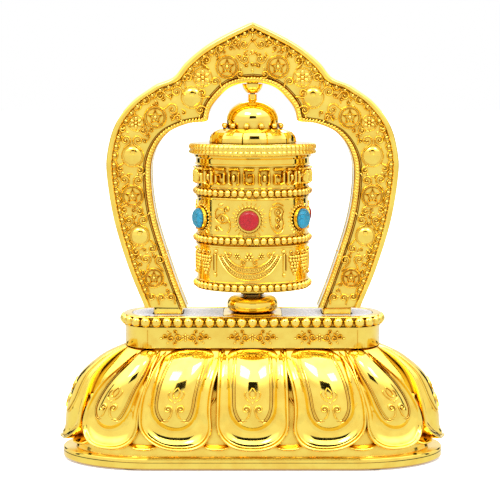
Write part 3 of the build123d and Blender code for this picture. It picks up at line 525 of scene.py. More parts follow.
def grain_group() -> bpy.types.NodeTree:
    """Makes the group of a fine cast or moulded surface: a normal and a slow patchy mask.

    Returns:
        The group.
    """

    def fill(desk: NodeDesk, start: bpy.types.Node) -> dict[str, bpy.types.NodeSocket]:
        """Adds a fine noise for the normal and a coarse one for the patches.

        Args:
            desk: where the nodes go.
            start: the group's inputs.

        Returns:
            Sockets of the normal and of the mask.
        """
        place = desk.add("ShaderNodeTexCoord").outputs["Object"]
        fine = desk.add(
            "ShaderNodeTexNoise",
            {"Vector": place, "Scale": start.outputs["Scale"], "Detail": 3.0},
        ).outputs[0]
        bump = desk.add(
            "ShaderNodeBump",
            {"Height": fine, "Strength": start.outputs["Strength"], "Distance": 0.00004},
        )
        slow = desk.math("MULTIPLY", start.outputs["Scale"], 0.09)
        patch = desk.add(
            "ShaderNodeTexNoise", {"Vector": place, "Scale": slow, "Detail": 4.0}
        ).outputs[0]
        return {"Normal": bump.outputs[0], "Patch": desk.span(patch, 0.35, 0.7, 0.0, 1.0)}

    outputs = {"Normal": "NodeSocketVector", "Patch": "NodeSocketFloat"}
    return shared_group("grain", {"Scale": 3000.0, "Strength": 0.2}, outputs, fill)


class Look(Enum):
    """How the colour of a finish is laid."""

    PLAIN = "one colour with slow patches"
    VEINED = "stone with a web of dark veins"
    STRIPED = "fine straight lines across X"
    BANDED = "two colours along X"
    FIBRED = "wood or paper fibres"


@dataclass(frozen=True)
class Finish:
    """One finish.

    slot is its name in the record, colour its open face, and deep both the second colour of its look
    (its veins, stripes, bands, fibres and patches) and the painted shade laid in its crevices.
    spread is added to the roughness in patches, scale and strength are those of the fine grain,
    pattern is the scale of the look, and reach is how far off a wall the painted crevice shade reaches.
    """

    slot: str
    colour: tuple[float, float, float]
    deep: tuple[float, float, float]
    roughness: float = 0.3
    spread: float = 0.08
    metallic: float = 0.0
    look: Look = Look.PLAIN
    scale: float = 3000.0
    strength: float = 0.2
    coat: float = 0.0
    clear: float = 0.0
    shine: float = 0.5
    pattern: float = 1.0
    reach: float = 0.0012

    def colours(self, desk: NodeDesk, patch: object, place: object) -> object:
        """Lays the colour that the look asks for.

        Args:
            desk: where the nodes go.
            patch: slow patchy mask.
            place: object coordinates.

        Returns:
            Colour socket.
        """
        bright, dark = (*self.colour, 1.0), (*self.deep, 1.0)
        if self.look is Look.VEINED:
            bend = desk.add("ShaderNodeTexNoise", {"Vector": place, "Scale": 700.0}).outputs[1]
            bent = desk.add(
                "ShaderNodeMix", {0: 0.0006, 4: place, 5: bend}, data_type="VECTOR"
            ).outputs[1]
            web = desk.add(
                "ShaderNodeTexVoronoi",
                {"Vector": bent, "Scale": self.pattern},
                feature="DISTANCE_TO_EDGE",
            ).outputs[0]
            vein = desk.math("MULTIPLY", desk.span(web, 0.0, 0.07, 1.0, 0.0), patch)
            return desk.blend(vein, bright, dark)
        if self.look is Look.STRIPED:
            wave = desk.add(
                "ShaderNodeTexWave", {"Vector": place, "Scale": self.pattern}
            ).outputs[1]
            return desk.blend(desk.span(wave, 0.86, 0.97, 0.0, 1.0), bright, dark)
        if self.look is Look.BANDED:
            side = desk.add("ShaderNodeSeparateXYZ", {0: place}).outputs[0]
            return desk.blend(desk.span(side, 0.0118, 0.0122, 0.0, 1.0), bright, dark)
        if self.look is Look.FIBRED:
            stretch = desk.add(
                "ShaderNodeMapping", {"Vector": place, "Scale": (1.0, 1.0, 0.06)}
            ).outputs[0]
            fibre = desk.add(
                "ShaderNodeTexNoise", {"Vector": stretch, "Scale": self.pattern, "Detail": 5.0}
            ).outputs[0]
            return desk.blend(desk.span(fibre, 0.4, 0.65, 0.0, 1.0), bright, dark)
        return desk.blend(desk.math("MULTIPLY", patch, 0.25), bright, dark)

    def material(self) -> bpy.types.Material:
        """Builds the material once and returns it each time.

        Returns:
            The material.
        """
        if self.slot + "_look" in bpy.data.materials:
            return bpy.data.materials[self.slot + "_look"]
        material = bpy.data.materials.new(self.slot + "_look")
        material.use_nodes = True
        material.node_tree.nodes.clear()
        desk = NodeDesk(material.node_tree)
        grain = desk.add("ShaderNodeGroup", node_tree=grain_group())
        grain.inputs["Scale"].default_value = self.scale
        grain.inputs["Strength"].default_value = self.strength
        crevice_shade = desk.add("ShaderNodeGroup", node_tree=crevice_shade_group())
        crevice_shade.inputs["Reach"].default_value = self.reach
        place = desk.add("ShaderNodeTexCoord").outputs["Object"]
        patch, shade_mask = grain.outputs["Patch"], crevice_shade.outputs["Mask"]
        colour = self.colours(desk, patch, place)
        # Painted shade: the crevice mask darkens the colour towards deep, and the deepest crevices
        # towards near black.
        shaded = desk.blend(desk.math("MULTIPLY", shade_mask, 0.9), colour, (*self.deep, 1.0))
        deepest_shade = tuple(0.22 * part for part in self.deep)
        shaded_deepest = desk.blend(desk.span(shade_mask, 0.7, 1.0, 0.0, 0.75), shaded, (*deepest_shade, 1.0))
        rough = desk.math("MULTIPLY_ADD", patch, self.spread)
        rough.node.inputs[2].default_value = self.roughness
        shader = desk.add(
            "ShaderNodeBsdfPrincipled",
            {
                "Base Color": shaded_deepest,
                "Roughness": rough,
                "Normal": grain.outputs["Normal"],
            },
        )
        shader.inputs["Metallic"].default_value = self.metallic
        shader.inputs["Specular IOR Level"].default_value = self.shine
        shader.inputs["Coat Weight"].default_value = self.coat
        shader.inputs["Coat Roughness"].default_value = 0.06
        shader.inputs["Transmission Weight"].default_value = self.clear
        desk.add("ShaderNodeOutputMaterial", {"Surface": shader.outputs[0]})
        return material


# Painted shade: the deep colour of these four finishes is laid in their crevices as shade; for the
# golds it is also mixed a little into slow random patches, and for the stones it also draws the veins.
PLATED_GOLD = Finish(
    "plated_gold", (1.0, 0.765, 0.145), (0.80, 0.34, 0.006), 0.055, 0.06, 1.0, strength=0.1,
    reach=0.0011,
)
POLISHED_GOLD = Finish(
    "polished_gold", (1.0, 0.775, 0.16), (0.80, 0.35, 0.008), 0.035, 0.04, 1.0, strength=0.03,
    reach=0.0011,
)
CORAL = Finish(
    "coral_stone", (0.30, 0.006, 0.011), (0.10, 0.002, 0.004), 0.25, 0.1,
    look=Look.VEINED, pattern=1100.0, coat=0.15, shine=0.25, reach=0.0006,
)
TURQUOISE = Finish(
    "turquoise_stone", (0.012, 0.19, 0.31), (0.004, 0.025, 0.035), 0.28, 0.1,
    look=Look.VEINED, pattern=620.0, coat=0.15, shine=0.25, reach=0.0006,
)
FINISHES = (
    PLATED_GOLD,
    POLISHED_GOLD,
    CORAL,
    TURQUOISE,
    Finish("foot_rubber", (0.02, 0.02, 0.02), (0.006, 0.006, 0.006), 0.7, scale=5000.0, strength=0.5),
    Finish("screw_steel", (0.62, 0.61, 0.59), (0.2, 0.19, 0.18), 0.28, metallic=1.0),
    Finish("dark_plastic", (0.03, 0.03, 0.032), (0.01, 0.01, 0.01), 0.45, strength=0.4),
    Finish(
        "cell_wrap", (0.02, 0.02, 0.022), (0.72, 0.36, 0.09), 0.25, look=Look.BANDED, coat=0.5
    ),
    Finish("contact_metal", (0.78, 0.77, 0.73), (0.3, 0.28, 0.24), 0.22, metallic=1.0),
    Finish("switch_plastic", (0.045, 0.045, 0.05), (0.015, 0.015, 0.015), 0.4, strength=0.4),
    Finish(
        "board_green", (0.012, 0.12, 0.045), (0.02, 0.22, 0.08), 0.35,
        look=Look.STRIPED, pattern=120.0, coat=0.4,
    ),
    Finish("capacitor_sleeve", (0.02, 0.03, 0.10), (0.4, 0.42, 0.46), 0.3, look=Look.BANDED),
    Finish("gear_frame_plastic", (0.62, 0.62, 0.6), (0.35, 0.35, 0.33), 0.45, strength=0.35),
    Finish("gear_plastic", (0.74, 0.72, 0.66), (0.45, 0.43, 0.38), 0.4, strength=0.3),
    Finish("bearing_brass", (0.80, 0.55, 0.22), (0.35, 0.2, 0.05), 0.25, metallic=1.0),
    Finish(
        "armature", (0.62, 0.22, 0.08), (0.2, 0.06, 0.02), 0.3,
        metallic=1.0, look=Look.STRIPED, pattern=900.0,
    ),
    Finish("motor_steel", (0.6, 0.6, 0.6), (0.25, 0.25, 0.25), 0.3, metallic=1.0),
    Finish("magnet", (0.07, 0.07, 0.075), (0.03, 0.03, 0.03), 0.5, strength=0.5),
    Finish("lead_sleeve", (0.35, 0.015, 0.012), (0.12, 0.005, 0.004), 0.4),
    Finish("clear_window", (0.93, 0.91, 1.0), (0.8, 0.77, 0.9), 0.03, 0.03, clear=0.5, shine=0.8),
    Finish(
        "solar_cell", (0.012, 0.016, 0.06), (0.45, 0.47, 0.52), 0.2,
        look=Look.STRIPED, pattern=160.0, coat=0.8,
    ),
    # Painted shade: the collar's near-black, reddish colour stands in for the shadow and dark
    # reflections in the gap between drum and boss.
    Finish(
        "dark_collar", (0.05, 0.012, 0.008), (0.015, 0.004, 0.003), 0.25, metallic=0.6, coat=0.3
    ),
    Finish(
        "wood_core", (0.5, 0.3, 0.14), (0.22, 0.11, 0.045), 0.55, look=Look.FIBRED, pattern=900.0
    ),
    Finish(
        "scroll_paper", (0.85, 0.79, 0.66), (0.62, 0.54, 0.4), 0.75, look=Look.FIBRED, pattern=1500.0
    ),
)


# ---------------------------------------------------------------- lotus base
@dataclass(frozen=True)
class OvalPlan:
    """Oval of the base and deck: straight front and back, half-ellipse ends.

    Levels differ only by their half width; half depth and straight length follow from it in a
    straight line between the base and the deck.
    """

    base: tuple[float, float, float] = (52.0, 19.8, 26.0)
    deck: tuple[float, float, float] = (34.8, 10.3, 27.5)
    end_radius: float = 24.0

    @property
    def quarter(self) -> float:
        """Walk from the middle of the front to the middle of an end."""
        return self.base[2] + self.end_radius * math.pi / 2

    def wrap(self, along: Array, half_width: Array, out: Array, height: Array) -> Array:
        """Places points round the oval.

        along is the walk from the middle of the front, positive to the right: first the straight,
        then the angle round the end times its radius, then the straight of the back. out moves a
        point along the oval's outward normal.

        Args:
            along: walk round the base.
            half_width: half width of the oval at each point's level.
            out: distance in front of the oval.
            height: height of each point.

        Returns:
            Array of points (..., 3).
        """
        width, depth, straight = self.base
        share = (half_width - width) / (self.deck[0] - width)
        deep = depth + share * (self.deck[1] - depth)
        run = straight + share * (self.deck[2] - straight)
        end = half_width - run
        side, walk = np.sign(along), np.abs(along)
        turn = np.clip((walk - straight) / self.end_radius, 0.0, math.pi)
        past = np.clip(walk - straight - math.pi * self.end_radius, 0.0, None)
        front = np.minimum(walk, straight) - past
        x, y = front * run / straight + end * np.sin(turn), -deep * np.cos(turn)
        nx, ny = np.sin(turn) / end, -np.cos(turn) / deep
        size = np.hypot(nx, ny)
        return np.stack([side * (x + out * nx / size), y + out * ny / size, height + 0 * x], axis=-1)

    def ring(self, profile: Sequence[tuple[float, float, float]], columns: int) -> Array:
        """Carries a profile once round the oval.

        Args:
            profile: points of (half width, distance out, height).
            columns: steps round.

        Returns:
            Array (profile points, columns, 3).
        """
        line = np.array(profile, float)[:, :, None]
        along = np.linspace(-2 * self.quarter, 2 * self.quarter, columns, endpoint=False)[None]
        return self.wrap(along, line[:, 0] + 0 * along, line[:, 1], line[:, 2])


class Row(Enum):
    """Which of the two rows of petals."""

    MAIN = "tall petals"
    BETWEEN = "small petals between their tips"


@dataclass(frozen=True)
class Petal:
    """One lotus petal: where it stands and how wide, tall and deep it is.

    along is the walk to its foot, lean how far its top goes sideways, sway how far its middle
    bows, back how far it stands behind the base's face, and lobe and swell are the half width and
    height of its lobe.
    """

    along: float
    lean: float = 0.0
    sway: float = 0.0
    half_width: float = 9.75
    top_half: float = 8.7
    foot: float = 5.2
    shoulder: float = 12.5
    top: float = 31.35
    back: float = 0.0
    lobe: float = TALL_LOBE
    swell: float = 2.9
    row: Row = Row.MAIN

    @property
    def spine_foot(self) -> float:
        """Height of the lower end of the middle line that the lobe swells round."""
        return self.shoulder + 0.62 * (self.shoulder - self.foot)

    def outline(self, count: int) -> Array:
        """Draws the edge: half an oval below the shoulder, then sides that close in as a cosine.

        Args:
            count: number of steps; half of them go below the shoulder.

        Returns:
            Array of (x, height) from the top left round the foot to the top right.
        """
        below, above = count // 2, count // 4
        turn = np.linspace(math.pi, 2 * math.pi, below + 1)
        deep = self.shoulder - self.foot
        round_x = self.half_width * np.sign(np.cos(turn)) * np.abs(np.cos(turn)) ** 0.86
        round_z = self.shoulder + deep * np.sin(turn)
        rise = np.linspace(0, 1, above + 1)[1:]
        side_x = self.top_half + (self.half_width - self.top_half) * np.cos(rise * math.pi / 2)
        side_z = self.shoulder + (self.top - self.shoulder) * rise
        x = np.concatenate([-side_x[::-1], round_x, side_x])
        z = np.concatenate([side_z[::-1], round_z, side_z])
        return np.stack([x, z], axis=1)

    def depth(self, x: Array, z: Array, edge: Array) -> Array:
        """Depth of the face behind the petal's outermost line.

        A rolled rim stands along the edge, a hollow follows it, and a lobe of half-round section
        swells round the middle line.

        Args:
            x: distance from the petal's middle.
            z: height.
            edge: distance from the petal's edge.

        Returns:
            Array of distances, negative inwards.
        """
        stations = (0.0, 0.1, 0.25, 0.45, 0.7, 0.9, 1.1, 1.25, 1.5, 1.7, 2.6, 3.6)
        levels = (-1.5, -0.75, -0.36, -0.2, -0.26, -0.62, -1.15, -1.3, -1.22, -1.3, -1.75, -1.95)
        off = np.hypot(x, np.maximum(self.spine_foot - z, 0.0))
        lobe = np.clip(1 - (off / (LOBE_SPREAD * self.lobe)) ** 2, 0, 1) ** 0.7
        return np.interp(edge, stations, levels) + self.swell * lobe


@dataclass
class LotusBase:
    """Hollow lotus foot: a flared skirt on a ledge, twelve petals and the small ones between."""

    plan: OvalPlan = field(default_factory=OvalPlan)
    ledge: tuple[float, float] = (2.3, 3.3)
    wall: float = 1.5
    set_back: float = 1.5  # the skirt lies this far behind the feet of the petals
    skirt: tuple[tuple[float, float], ...] = (
        (3.35, 50.2), (4.2, 49.95), (9.8, 50.2), (16.5, 48.8), (23.2, 45.4), (28.2, 40.0), (31.4, 35.6),
    )
    face: tuple[tuple[float, float], ...] = (
        (4.9, 52.5), (6.4, 52.85), (9.8, 51.7), (16.5, 50.1), (23.2, 46.9), (28.2, 41.2), (31.4, 36.2),
    )
    tuck: float = 1.7  # how far the tops of the petals draw in under the deck
    tuck_from: tuple[float, float] = (27.6, 3.8)  # where that starts, and the height it takes
    small_tuck: float = 1.8  # how far the small petals draw in behind the tall ones
    small_tuck_from: tuple[float, float] = (5.9, 1.7)
    roots: tuple[float, float] = (4.8, 2.4)  # how deep a petal's edge runs on into the skirt
    pitch: float = 19.0
    corner: float = 38.2

    def petals(self) -> list[Petal]:
        """Lists every petal: the middle ones, those on the right, and their mirror images.

        Returns:
            The petals of both rows.
        """
        end, back = self.plan.quarter, 2 * self.plan.quarter
        middle = [Petal(along=0.0), Petal(along=back)]
        beside = Petal(along=self.pitch, lean=-3.9, sway=2.3, back=0.4)
        corner = Petal(
            along=self.corner, lean=-9.5, sway=2.2, half_width=9.2, top_half=7.8, back=0.7
        )
        tall = [
            beside,
            corner,
            Petal(along=end, half_width=14.6, top_half=11.5, shoulder=11.4, lobe=6.9, swell=2.2),
            replace(corner, along=back - self.corner, lean=-corner.lean, sway=-corner.sway),
            replace(beside, along=back - self.pitch, lean=-beside.lean, sway=-beside.sway),
        ]
        first, second, third = self.pitch / 2, 28.9, 49.2
        gaps = (first, second, third, back - third, back - second, back - first)
        small = [
            Petal(
                along=gap, half_width=5.0, top_half=0.9, foot=5.25, shoulder=8.8, top=19.0,
                back=0.9, lobe=2.6, swell=1.2, row=Row.BETWEEN,
            )
            for gap in gaps
        ]
        right = tall + small
        left = [replace(p, along=-p.along, lean=-p.lean, sway=-p.sway) for p in right]
        return middle + right + left

    def place(self, petal: Petal, x: Array, z: Array, out: Array) -> Array:
        """Puts points of a petal's flat drawing on the flaring face of the base.

        The petal leans as the square of the height and bows as a sine of it, and its top draws in
        under the deck as a square.

        Args:
            petal: the petal.
            x: distance from its middle.
            z: height.
            out: distance in front of the base's face.

        Returns:
            Array of points (..., 3).
        """
        line = smooth_curve(self.face, 200)
        width = np.interp(z, line[:, 0], line[:, 1])
        share = np.clip((z - petal.foot) / (petal.top - petal.foot), 0.0, 1.0)
        along = petal.along + petal.lean * share**2 + petal.sway * np.sin(math.pi * share) + x
        if petal.row is Row.MAIN:
            back = petal.back * (0.25 + 0.75 * share)
        else:
            start, span = self.small_tuck_from
            back = petal.back + self.small_tuck * np.clip((z - start) / span, 0.0, 1.0)
        start, span = self.tuck_from
        back = back + self.tuck * np.clip((z - start) / span, 0.0, 1.0) ** 2
        return self.plan.wrap(along, width, out - back, z)

    def petal_grid(self, petal: Petal) -> Array:
        """Builds one petal.

        Every column runs from the edge straight to the middle line; its rows first lie sunk in the
        skirt, then climb the rim, then cross hollow and lobe.

        Args:
            petal: the petal.

        Returns:
            Array (rows, columns, 3).
        """
        outline = petal.outline(96)
        spine = np.stack(
            [0 * outline[:, 0], np.maximum(outline[:, 1], petal.spine_foot)], axis=1
        )
        reach = np.linalg.norm(spine - outline, axis=1)
        near = np.array([0.0, 0.1, 0.2, 0.32, 0.45, 0.58, 0.72, 0.85, 1.0, 1.15, 1.35, 1.7])
        inner = np.linspace(0, 1, 22)[1:]
        edge = np.concatenate(
            [near[:, None] + 0 * reach, 1.7 + (reach - 1.7) * inner[:, None]], axis=0
        )
        step = (edge / reach)[:, :, None]
        flat = outline + (spine - outline) * step
        out = petal.depth(flat[..., 0], flat[..., 1], edge)
        flat = np.concatenate([flat[:1], flat[:1], flat])
        root, half_way = (np.full((1, len(reach)), -depth) for depth in self.roots)
        out = np.concatenate([root, half_way, out])
        flat = np.concatenate([flat[:, :1], flat, flat[:, -1:]], axis=1)
        side = out[:, :1] * 0 - self.roots[0]
        out = np.concatenate([side, out, side], axis=1)
        return self.place(petal, flat[..., 0], flat[..., 1], out)

    def drawing(self) -> Ornament:
        """Draws the raised lines of a tall petal.

        A double line runs down each side of the lobe and turns in and up into a curled head, with
        a pointed ring and two hooks above.

        Returns:
            The ornament, x across the petal and height upwards.
        """
        half = Ornament()
        for side, width, deep in ((4.75, 0.17, 0.0), (5.45, 0.14, 0.55)):
            half.line(
                smooth_curve(
                    ((side * 0.86, 30.8), (side * 0.97, 25.0), (side, 20.0), (side * 0.97, 16.6),
                     (side * 0.8, 14.4 - deep), (3.0, 13.5 - deep), (1.9 - deep, 13.9 - 0.6 * deep)),
                    80,
                ),
                width,
                0.34,
            )
        half.line(
            np.vstack([
                smooth_curve(((1.9, 13.9), (1.1, 14.6), (0.75, 15.8)), 20),
                curl((1.65, 16.6), 1.1, 190.0, -1.3),
            ]),
            0.23,
            0.42,
        )
        half.stud(1.65, 16.6, 0.4, 0.46)
        half.line(smooth_curve(((0.0, 22.2), (0.8, 21.0), (0.65, 19.9), (0.0, 19.4)), 30), 0.17, 0.36)
        half.line(smooth_curve(((0.5, 18.6), (1.5, 19.2), (2.1, 20.5), (1.6, 21.3)), 30), 0.16, 0.32)
        whole = Ornament()
        whole.add(half)
        whole.add(half, mirror=True)
        whole.stud(0.0, 18.3, 0.3, 0.3)
        return whole

    def build(self) -> list[bpy.types.Object]:
        """Builds the skirt, both rows of petals and their drawing.

        Returns:
            The pieces.
        """
        gold, shell = (PLATED_GOLD,), ("lotus_shell",)
        low, high = self.ledge
        outer = [(51.75, 0.0, low), (52.0, 0.0, low + 0.15), (52.0, 0.0, high - 0.25)]
        outer += [(51.75, 0.0, high), (50.6, 0.0, high)]
        outer += [(width, -self.set_back, z) for z, width in smooth_curve(self.skirt, 30)]
        under = -self.set_back - self.wall
        inner = [(width, under, z) for z, width in self.skirt[::-1]]
        rings = self.plan.ring(outer + inner + [(50.2, under, low)], 240)
        skirt = Sculpt().grids(rings, wrap_rows=True, wrap_columns=True)
        pieces = [skirt.build("lotus_skirt", "root", gold, shell)]
        petals = {row: [p for p in self.petals() if p.row is row] for row in Row}
        for name, row in (("lotus_petals", Row.MAIN), ("lotus_small_petals", Row.BETWEEN)):
            grids = np.stack([self.petal_grid(petal) for petal in petals[row]])
            pieces.append(Sculpt().grids(grids).build(name, "root", gold, shell, 60.0))
        lines = Sculpt()
        drawing = self.drawing()
        for petal in petals[Row.MAIN]:
            lines.ornament(drawing, self.on_petal(petal))
        return pieces + [lines.build("lotus_line_work", "root", gold, shell)]

    def on_petal(self, petal: Petal) -> Place:
        """Gives the surface of a petal as a place for ornament, stretched to its width.

        Args:
            petal: the petal.

        Returns:
            Function that puts (u, v, height) on it.
        """
        stretch = petal.lobe / TALL_LOBE

        def place(u: Array, v: Array, height: Array) -> Array:
            """Adds the height to the depth of the petal's face there.

            Args:
                u: distance from the petal's middle, before the stretch.
                v: height above the ground.
                height: distance in front of the face.

            Returns:
                Array of points (..., 3).
            """
            x = u * stretch
            rise = np.clip((v - petal.shoulder) / (petal.top - petal.shoulder), 0.0, 1.0)
            side = petal.top_half + (petal.half_width - petal.top_half) * np.cos(rise * math.pi / 2)
            edge = np.clip(side - np.abs(x), 1.7, 3.6)
            return self.place(petal, x, v, petal.depth(x, v, edge) + height)

        return place


# ---------------------------------------------------------------- deck
@dataclass
class Deck:
    """Oval deck: a plain band with low scrolls, a row of beads, a lip and a sunk tray."""

    plan: OvalPlan = field(default_factory=OvalPlan)
    foot: float = 31.42
    top: float = 40.0
    wall: float = 1.5
    lip: float = 2.0
    tray: float = 38.05
    tray_under: float = 37.4
    bead_radius: float = 1.42
    bead_height: float = 38.5
    beads: int = 58
    boss_half: float = 7.95
    seam: float = 28.1

    def band(self) -> Array:
        """Carries the band's section round the deck: foot, face, bead seat, lip and inner wall.

        Returns:
            Array (section, columns, 3).
        """
        profile = (
            (-0.15, self.foot), (0.0, self.foot + 0.15), (0.0, 36.4), (0.25, 36.7), (0.3, 37.1),
            (-0.2, 37.4), (-0.35, 38.5), (-0.2, 39.5), (0.25, 39.62), (0.35, 39.78),
            (0.25, self.top - 0.08), (0.1, self.top),
            (-self.lip + 0.15, self.top), (-self.lip, self.top - 0.15), (-self.lip, self.tray_under),
            (-self.wall, self.tray_under - 0.3), (-self.wall, self.foot),
        )
        width = self.plan.deck[0]
        return self.plan.ring([(width, out, z) for out, z in profile], 288)

    def bead_centres(self) -> Array:
        """Spaces the beads evenly along the deck's outline.

        Returns:
            Array of the beads' middles.
        """
        walk = np.linspace(-2 * self.plan.quarter, 2 * self.plan.quarter, 4001)
        width = np.full(walk.shape, self.plan.deck[0])
        line = self.plan.wrap(walk, width, 0 * walk, np.full(walk.shape, self.bead_height))
        return spaced(line, self.beads + 1)[:-1]

    def scrolls(self) -> Ornament:
        """Draws the low scrolls of the band: pairs of curls that lean on a six-petalled flower.

        Returns:
            The ornament, x along the band and height upwards.
        """
        unit = Ornament()
        unit.line(curl((1.8, 34.4), 0.95, 230.0, 1.2, 0.9), 0.22, 0.5)
        unit.line(curl((3.7, 34.2), 0.85, 60.0, -1.2, 0.9), 0.22, 0.5)
        unit.line(curl((5.2, 34.7), 0.55, 250.0, 1.1, 0.8), 0.19, 0.45)
        unit.line(curl((2.7, 35.9), 0.45, 200.0, -1.0, 0.6), 0.18, 0.42)
        unit.line(curl((2.8, 32.8), 0.42, 160.0, 1.0, 0.6), 0.18, 0.42)
        unit.stud(6.1, 34.1, 0.45, 0.42, 0.24, 15.0)
        unit.stud(4.4, 35.8, 0.4, 0.42, 0.24, 40.0)
        unit.stud(4.5, 32.9, 0.4, 0.42, 0.24, -40.0)
        whole = Ornament()
        for middle in (-17.0, 0.0, 17.0):
            whole.add(unit, (middle, 0.0))
            whole.add(unit, (middle, 0.0), mirror=True)
            for angle in range(30, 390, 60):
                lean = math.radians(angle)
                spot = (middle + 0.7 * math.cos(lean), 34.3 + 0.7 * math.sin(lean))
                whole.stud(*spot, 0.42, 0.34, 0.26, float(angle))
            whole.stud(middle, 34.3, 0.3, 0.4)
        for side in (-1.0, 1.0):
            whole.line(np.array([[side * self.seam, 31.9], [side * self.seam, 36.5]]), 0.14, 0.2)
        return whole

    def build(self) -> list[bpy.types.Object]:
        """Builds the band, its beads, the scrolls, and the tray with the boss's step.

        Returns:
            The pieces.
        """
        width = self.plan.deck[0]
        shell = Sculpt().grids(self.band(), wrap_rows=True, wrap_columns=True)
        edge = [(width, -self.lip + 0.02, self.tray), (width, -self.lip + 0.02, self.tray_under)]
        rings = self.plan.ring(edge, 144)
        poles = rings * np.array([0.0, 0.0, 1.0])
        shell.grids(np.stack([poles[0], rings[0], rings[1], poles[1]]), wrap_columns=True)
        shell.grids(self.step(), wrap_columns=True)
        balls = self.bead_centres()[:, None, None, :] + bead(self.bead_radius, 11, 18)[None]
        beads = Sculpt().grids(balls, wrap_columns=True)
        lines = Sculpt()
        for behind in (False, True):
            lines.ornament(self.scrolls(), self.on_band(behind))
        return [
            shell.build("deck_shell", "root", (PLATED_GOLD,), ("deck",)),
            beads.build("deck_beads", "root", (POLISHED_GOLD,), ("deck",)),
            lines.build("deck_scrolls", "root", (PLATED_GOLD,), ("deck",)),
        ]

    def on_band(self, behind: bool) -> Place:
        """Gives the front or the back of the band as a place for ornament.

        Args:
            behind: takes the back, where the walk starts from the middle of the back.

        Returns:
            Function that puts (u, v, height) on the band.
        """
        back = 2 * self.plan.quarter

        def place(u: Array, v: Array, height: Array) -> Array:
            """Takes u as the walk along the band and v as the height above the ground.

            Args:
                u: walk from the middle.
                v: height above the ground.
                height: distance in front of the band.

            Returns:
                Array of points (..., 3).
            """
            walk = np.where(u < 0, -back - u, back - u) if behind else u
            return self.plan.wrap(walk, np.full(u.shape, self.plan.deck[0]), height, v)

        return place

    def step(self) -> Array:
        """Shapes the step between the windows that carries the boss, from the tray to the top.

        Its outline is a circle whose cosine and sine are raised to a quarter, a rounded oblong.

        Returns:
            Array (levels, columns, 3), closed at both ends by a pole.
        """
        turn = np.linspace(0, 2 * math.pi, 64, endpoint=False)
        half = np.array([self.boss_half, self.plan.deck[1] - self.lip])
        power = np.abs(np.stack([np.cos(turn), np.sin(turn)], axis=-1)) ** 0.25
        flat = half * power * np.sign(np.stack([np.cos(turn), np.sin(turn)], axis=-1))
        levels = (
            (0.0, self.tray - 0.3), (1.0, self.tray - 0.3), (1.0, self.top - 0.12),
            (0.985, self.top), (0.0, self.top),
        )
        share = np.array([level[0] for level in levels])[:, None, None]
        z = np.array([level[1] for level in levels])[:, None, None] + 0 * flat[None, :, :1]
        return np.concatenate([flat[None] * share, z], axis=-1)


# ---------------------------------------------------------------- arch
class Motif(Enum):
    """Kinds of medallion on the arch."""

    STAR = "star in two rings"
    ROSETTE = "six petals round a boss"
    STONE = "smooth cabochon in a ring"


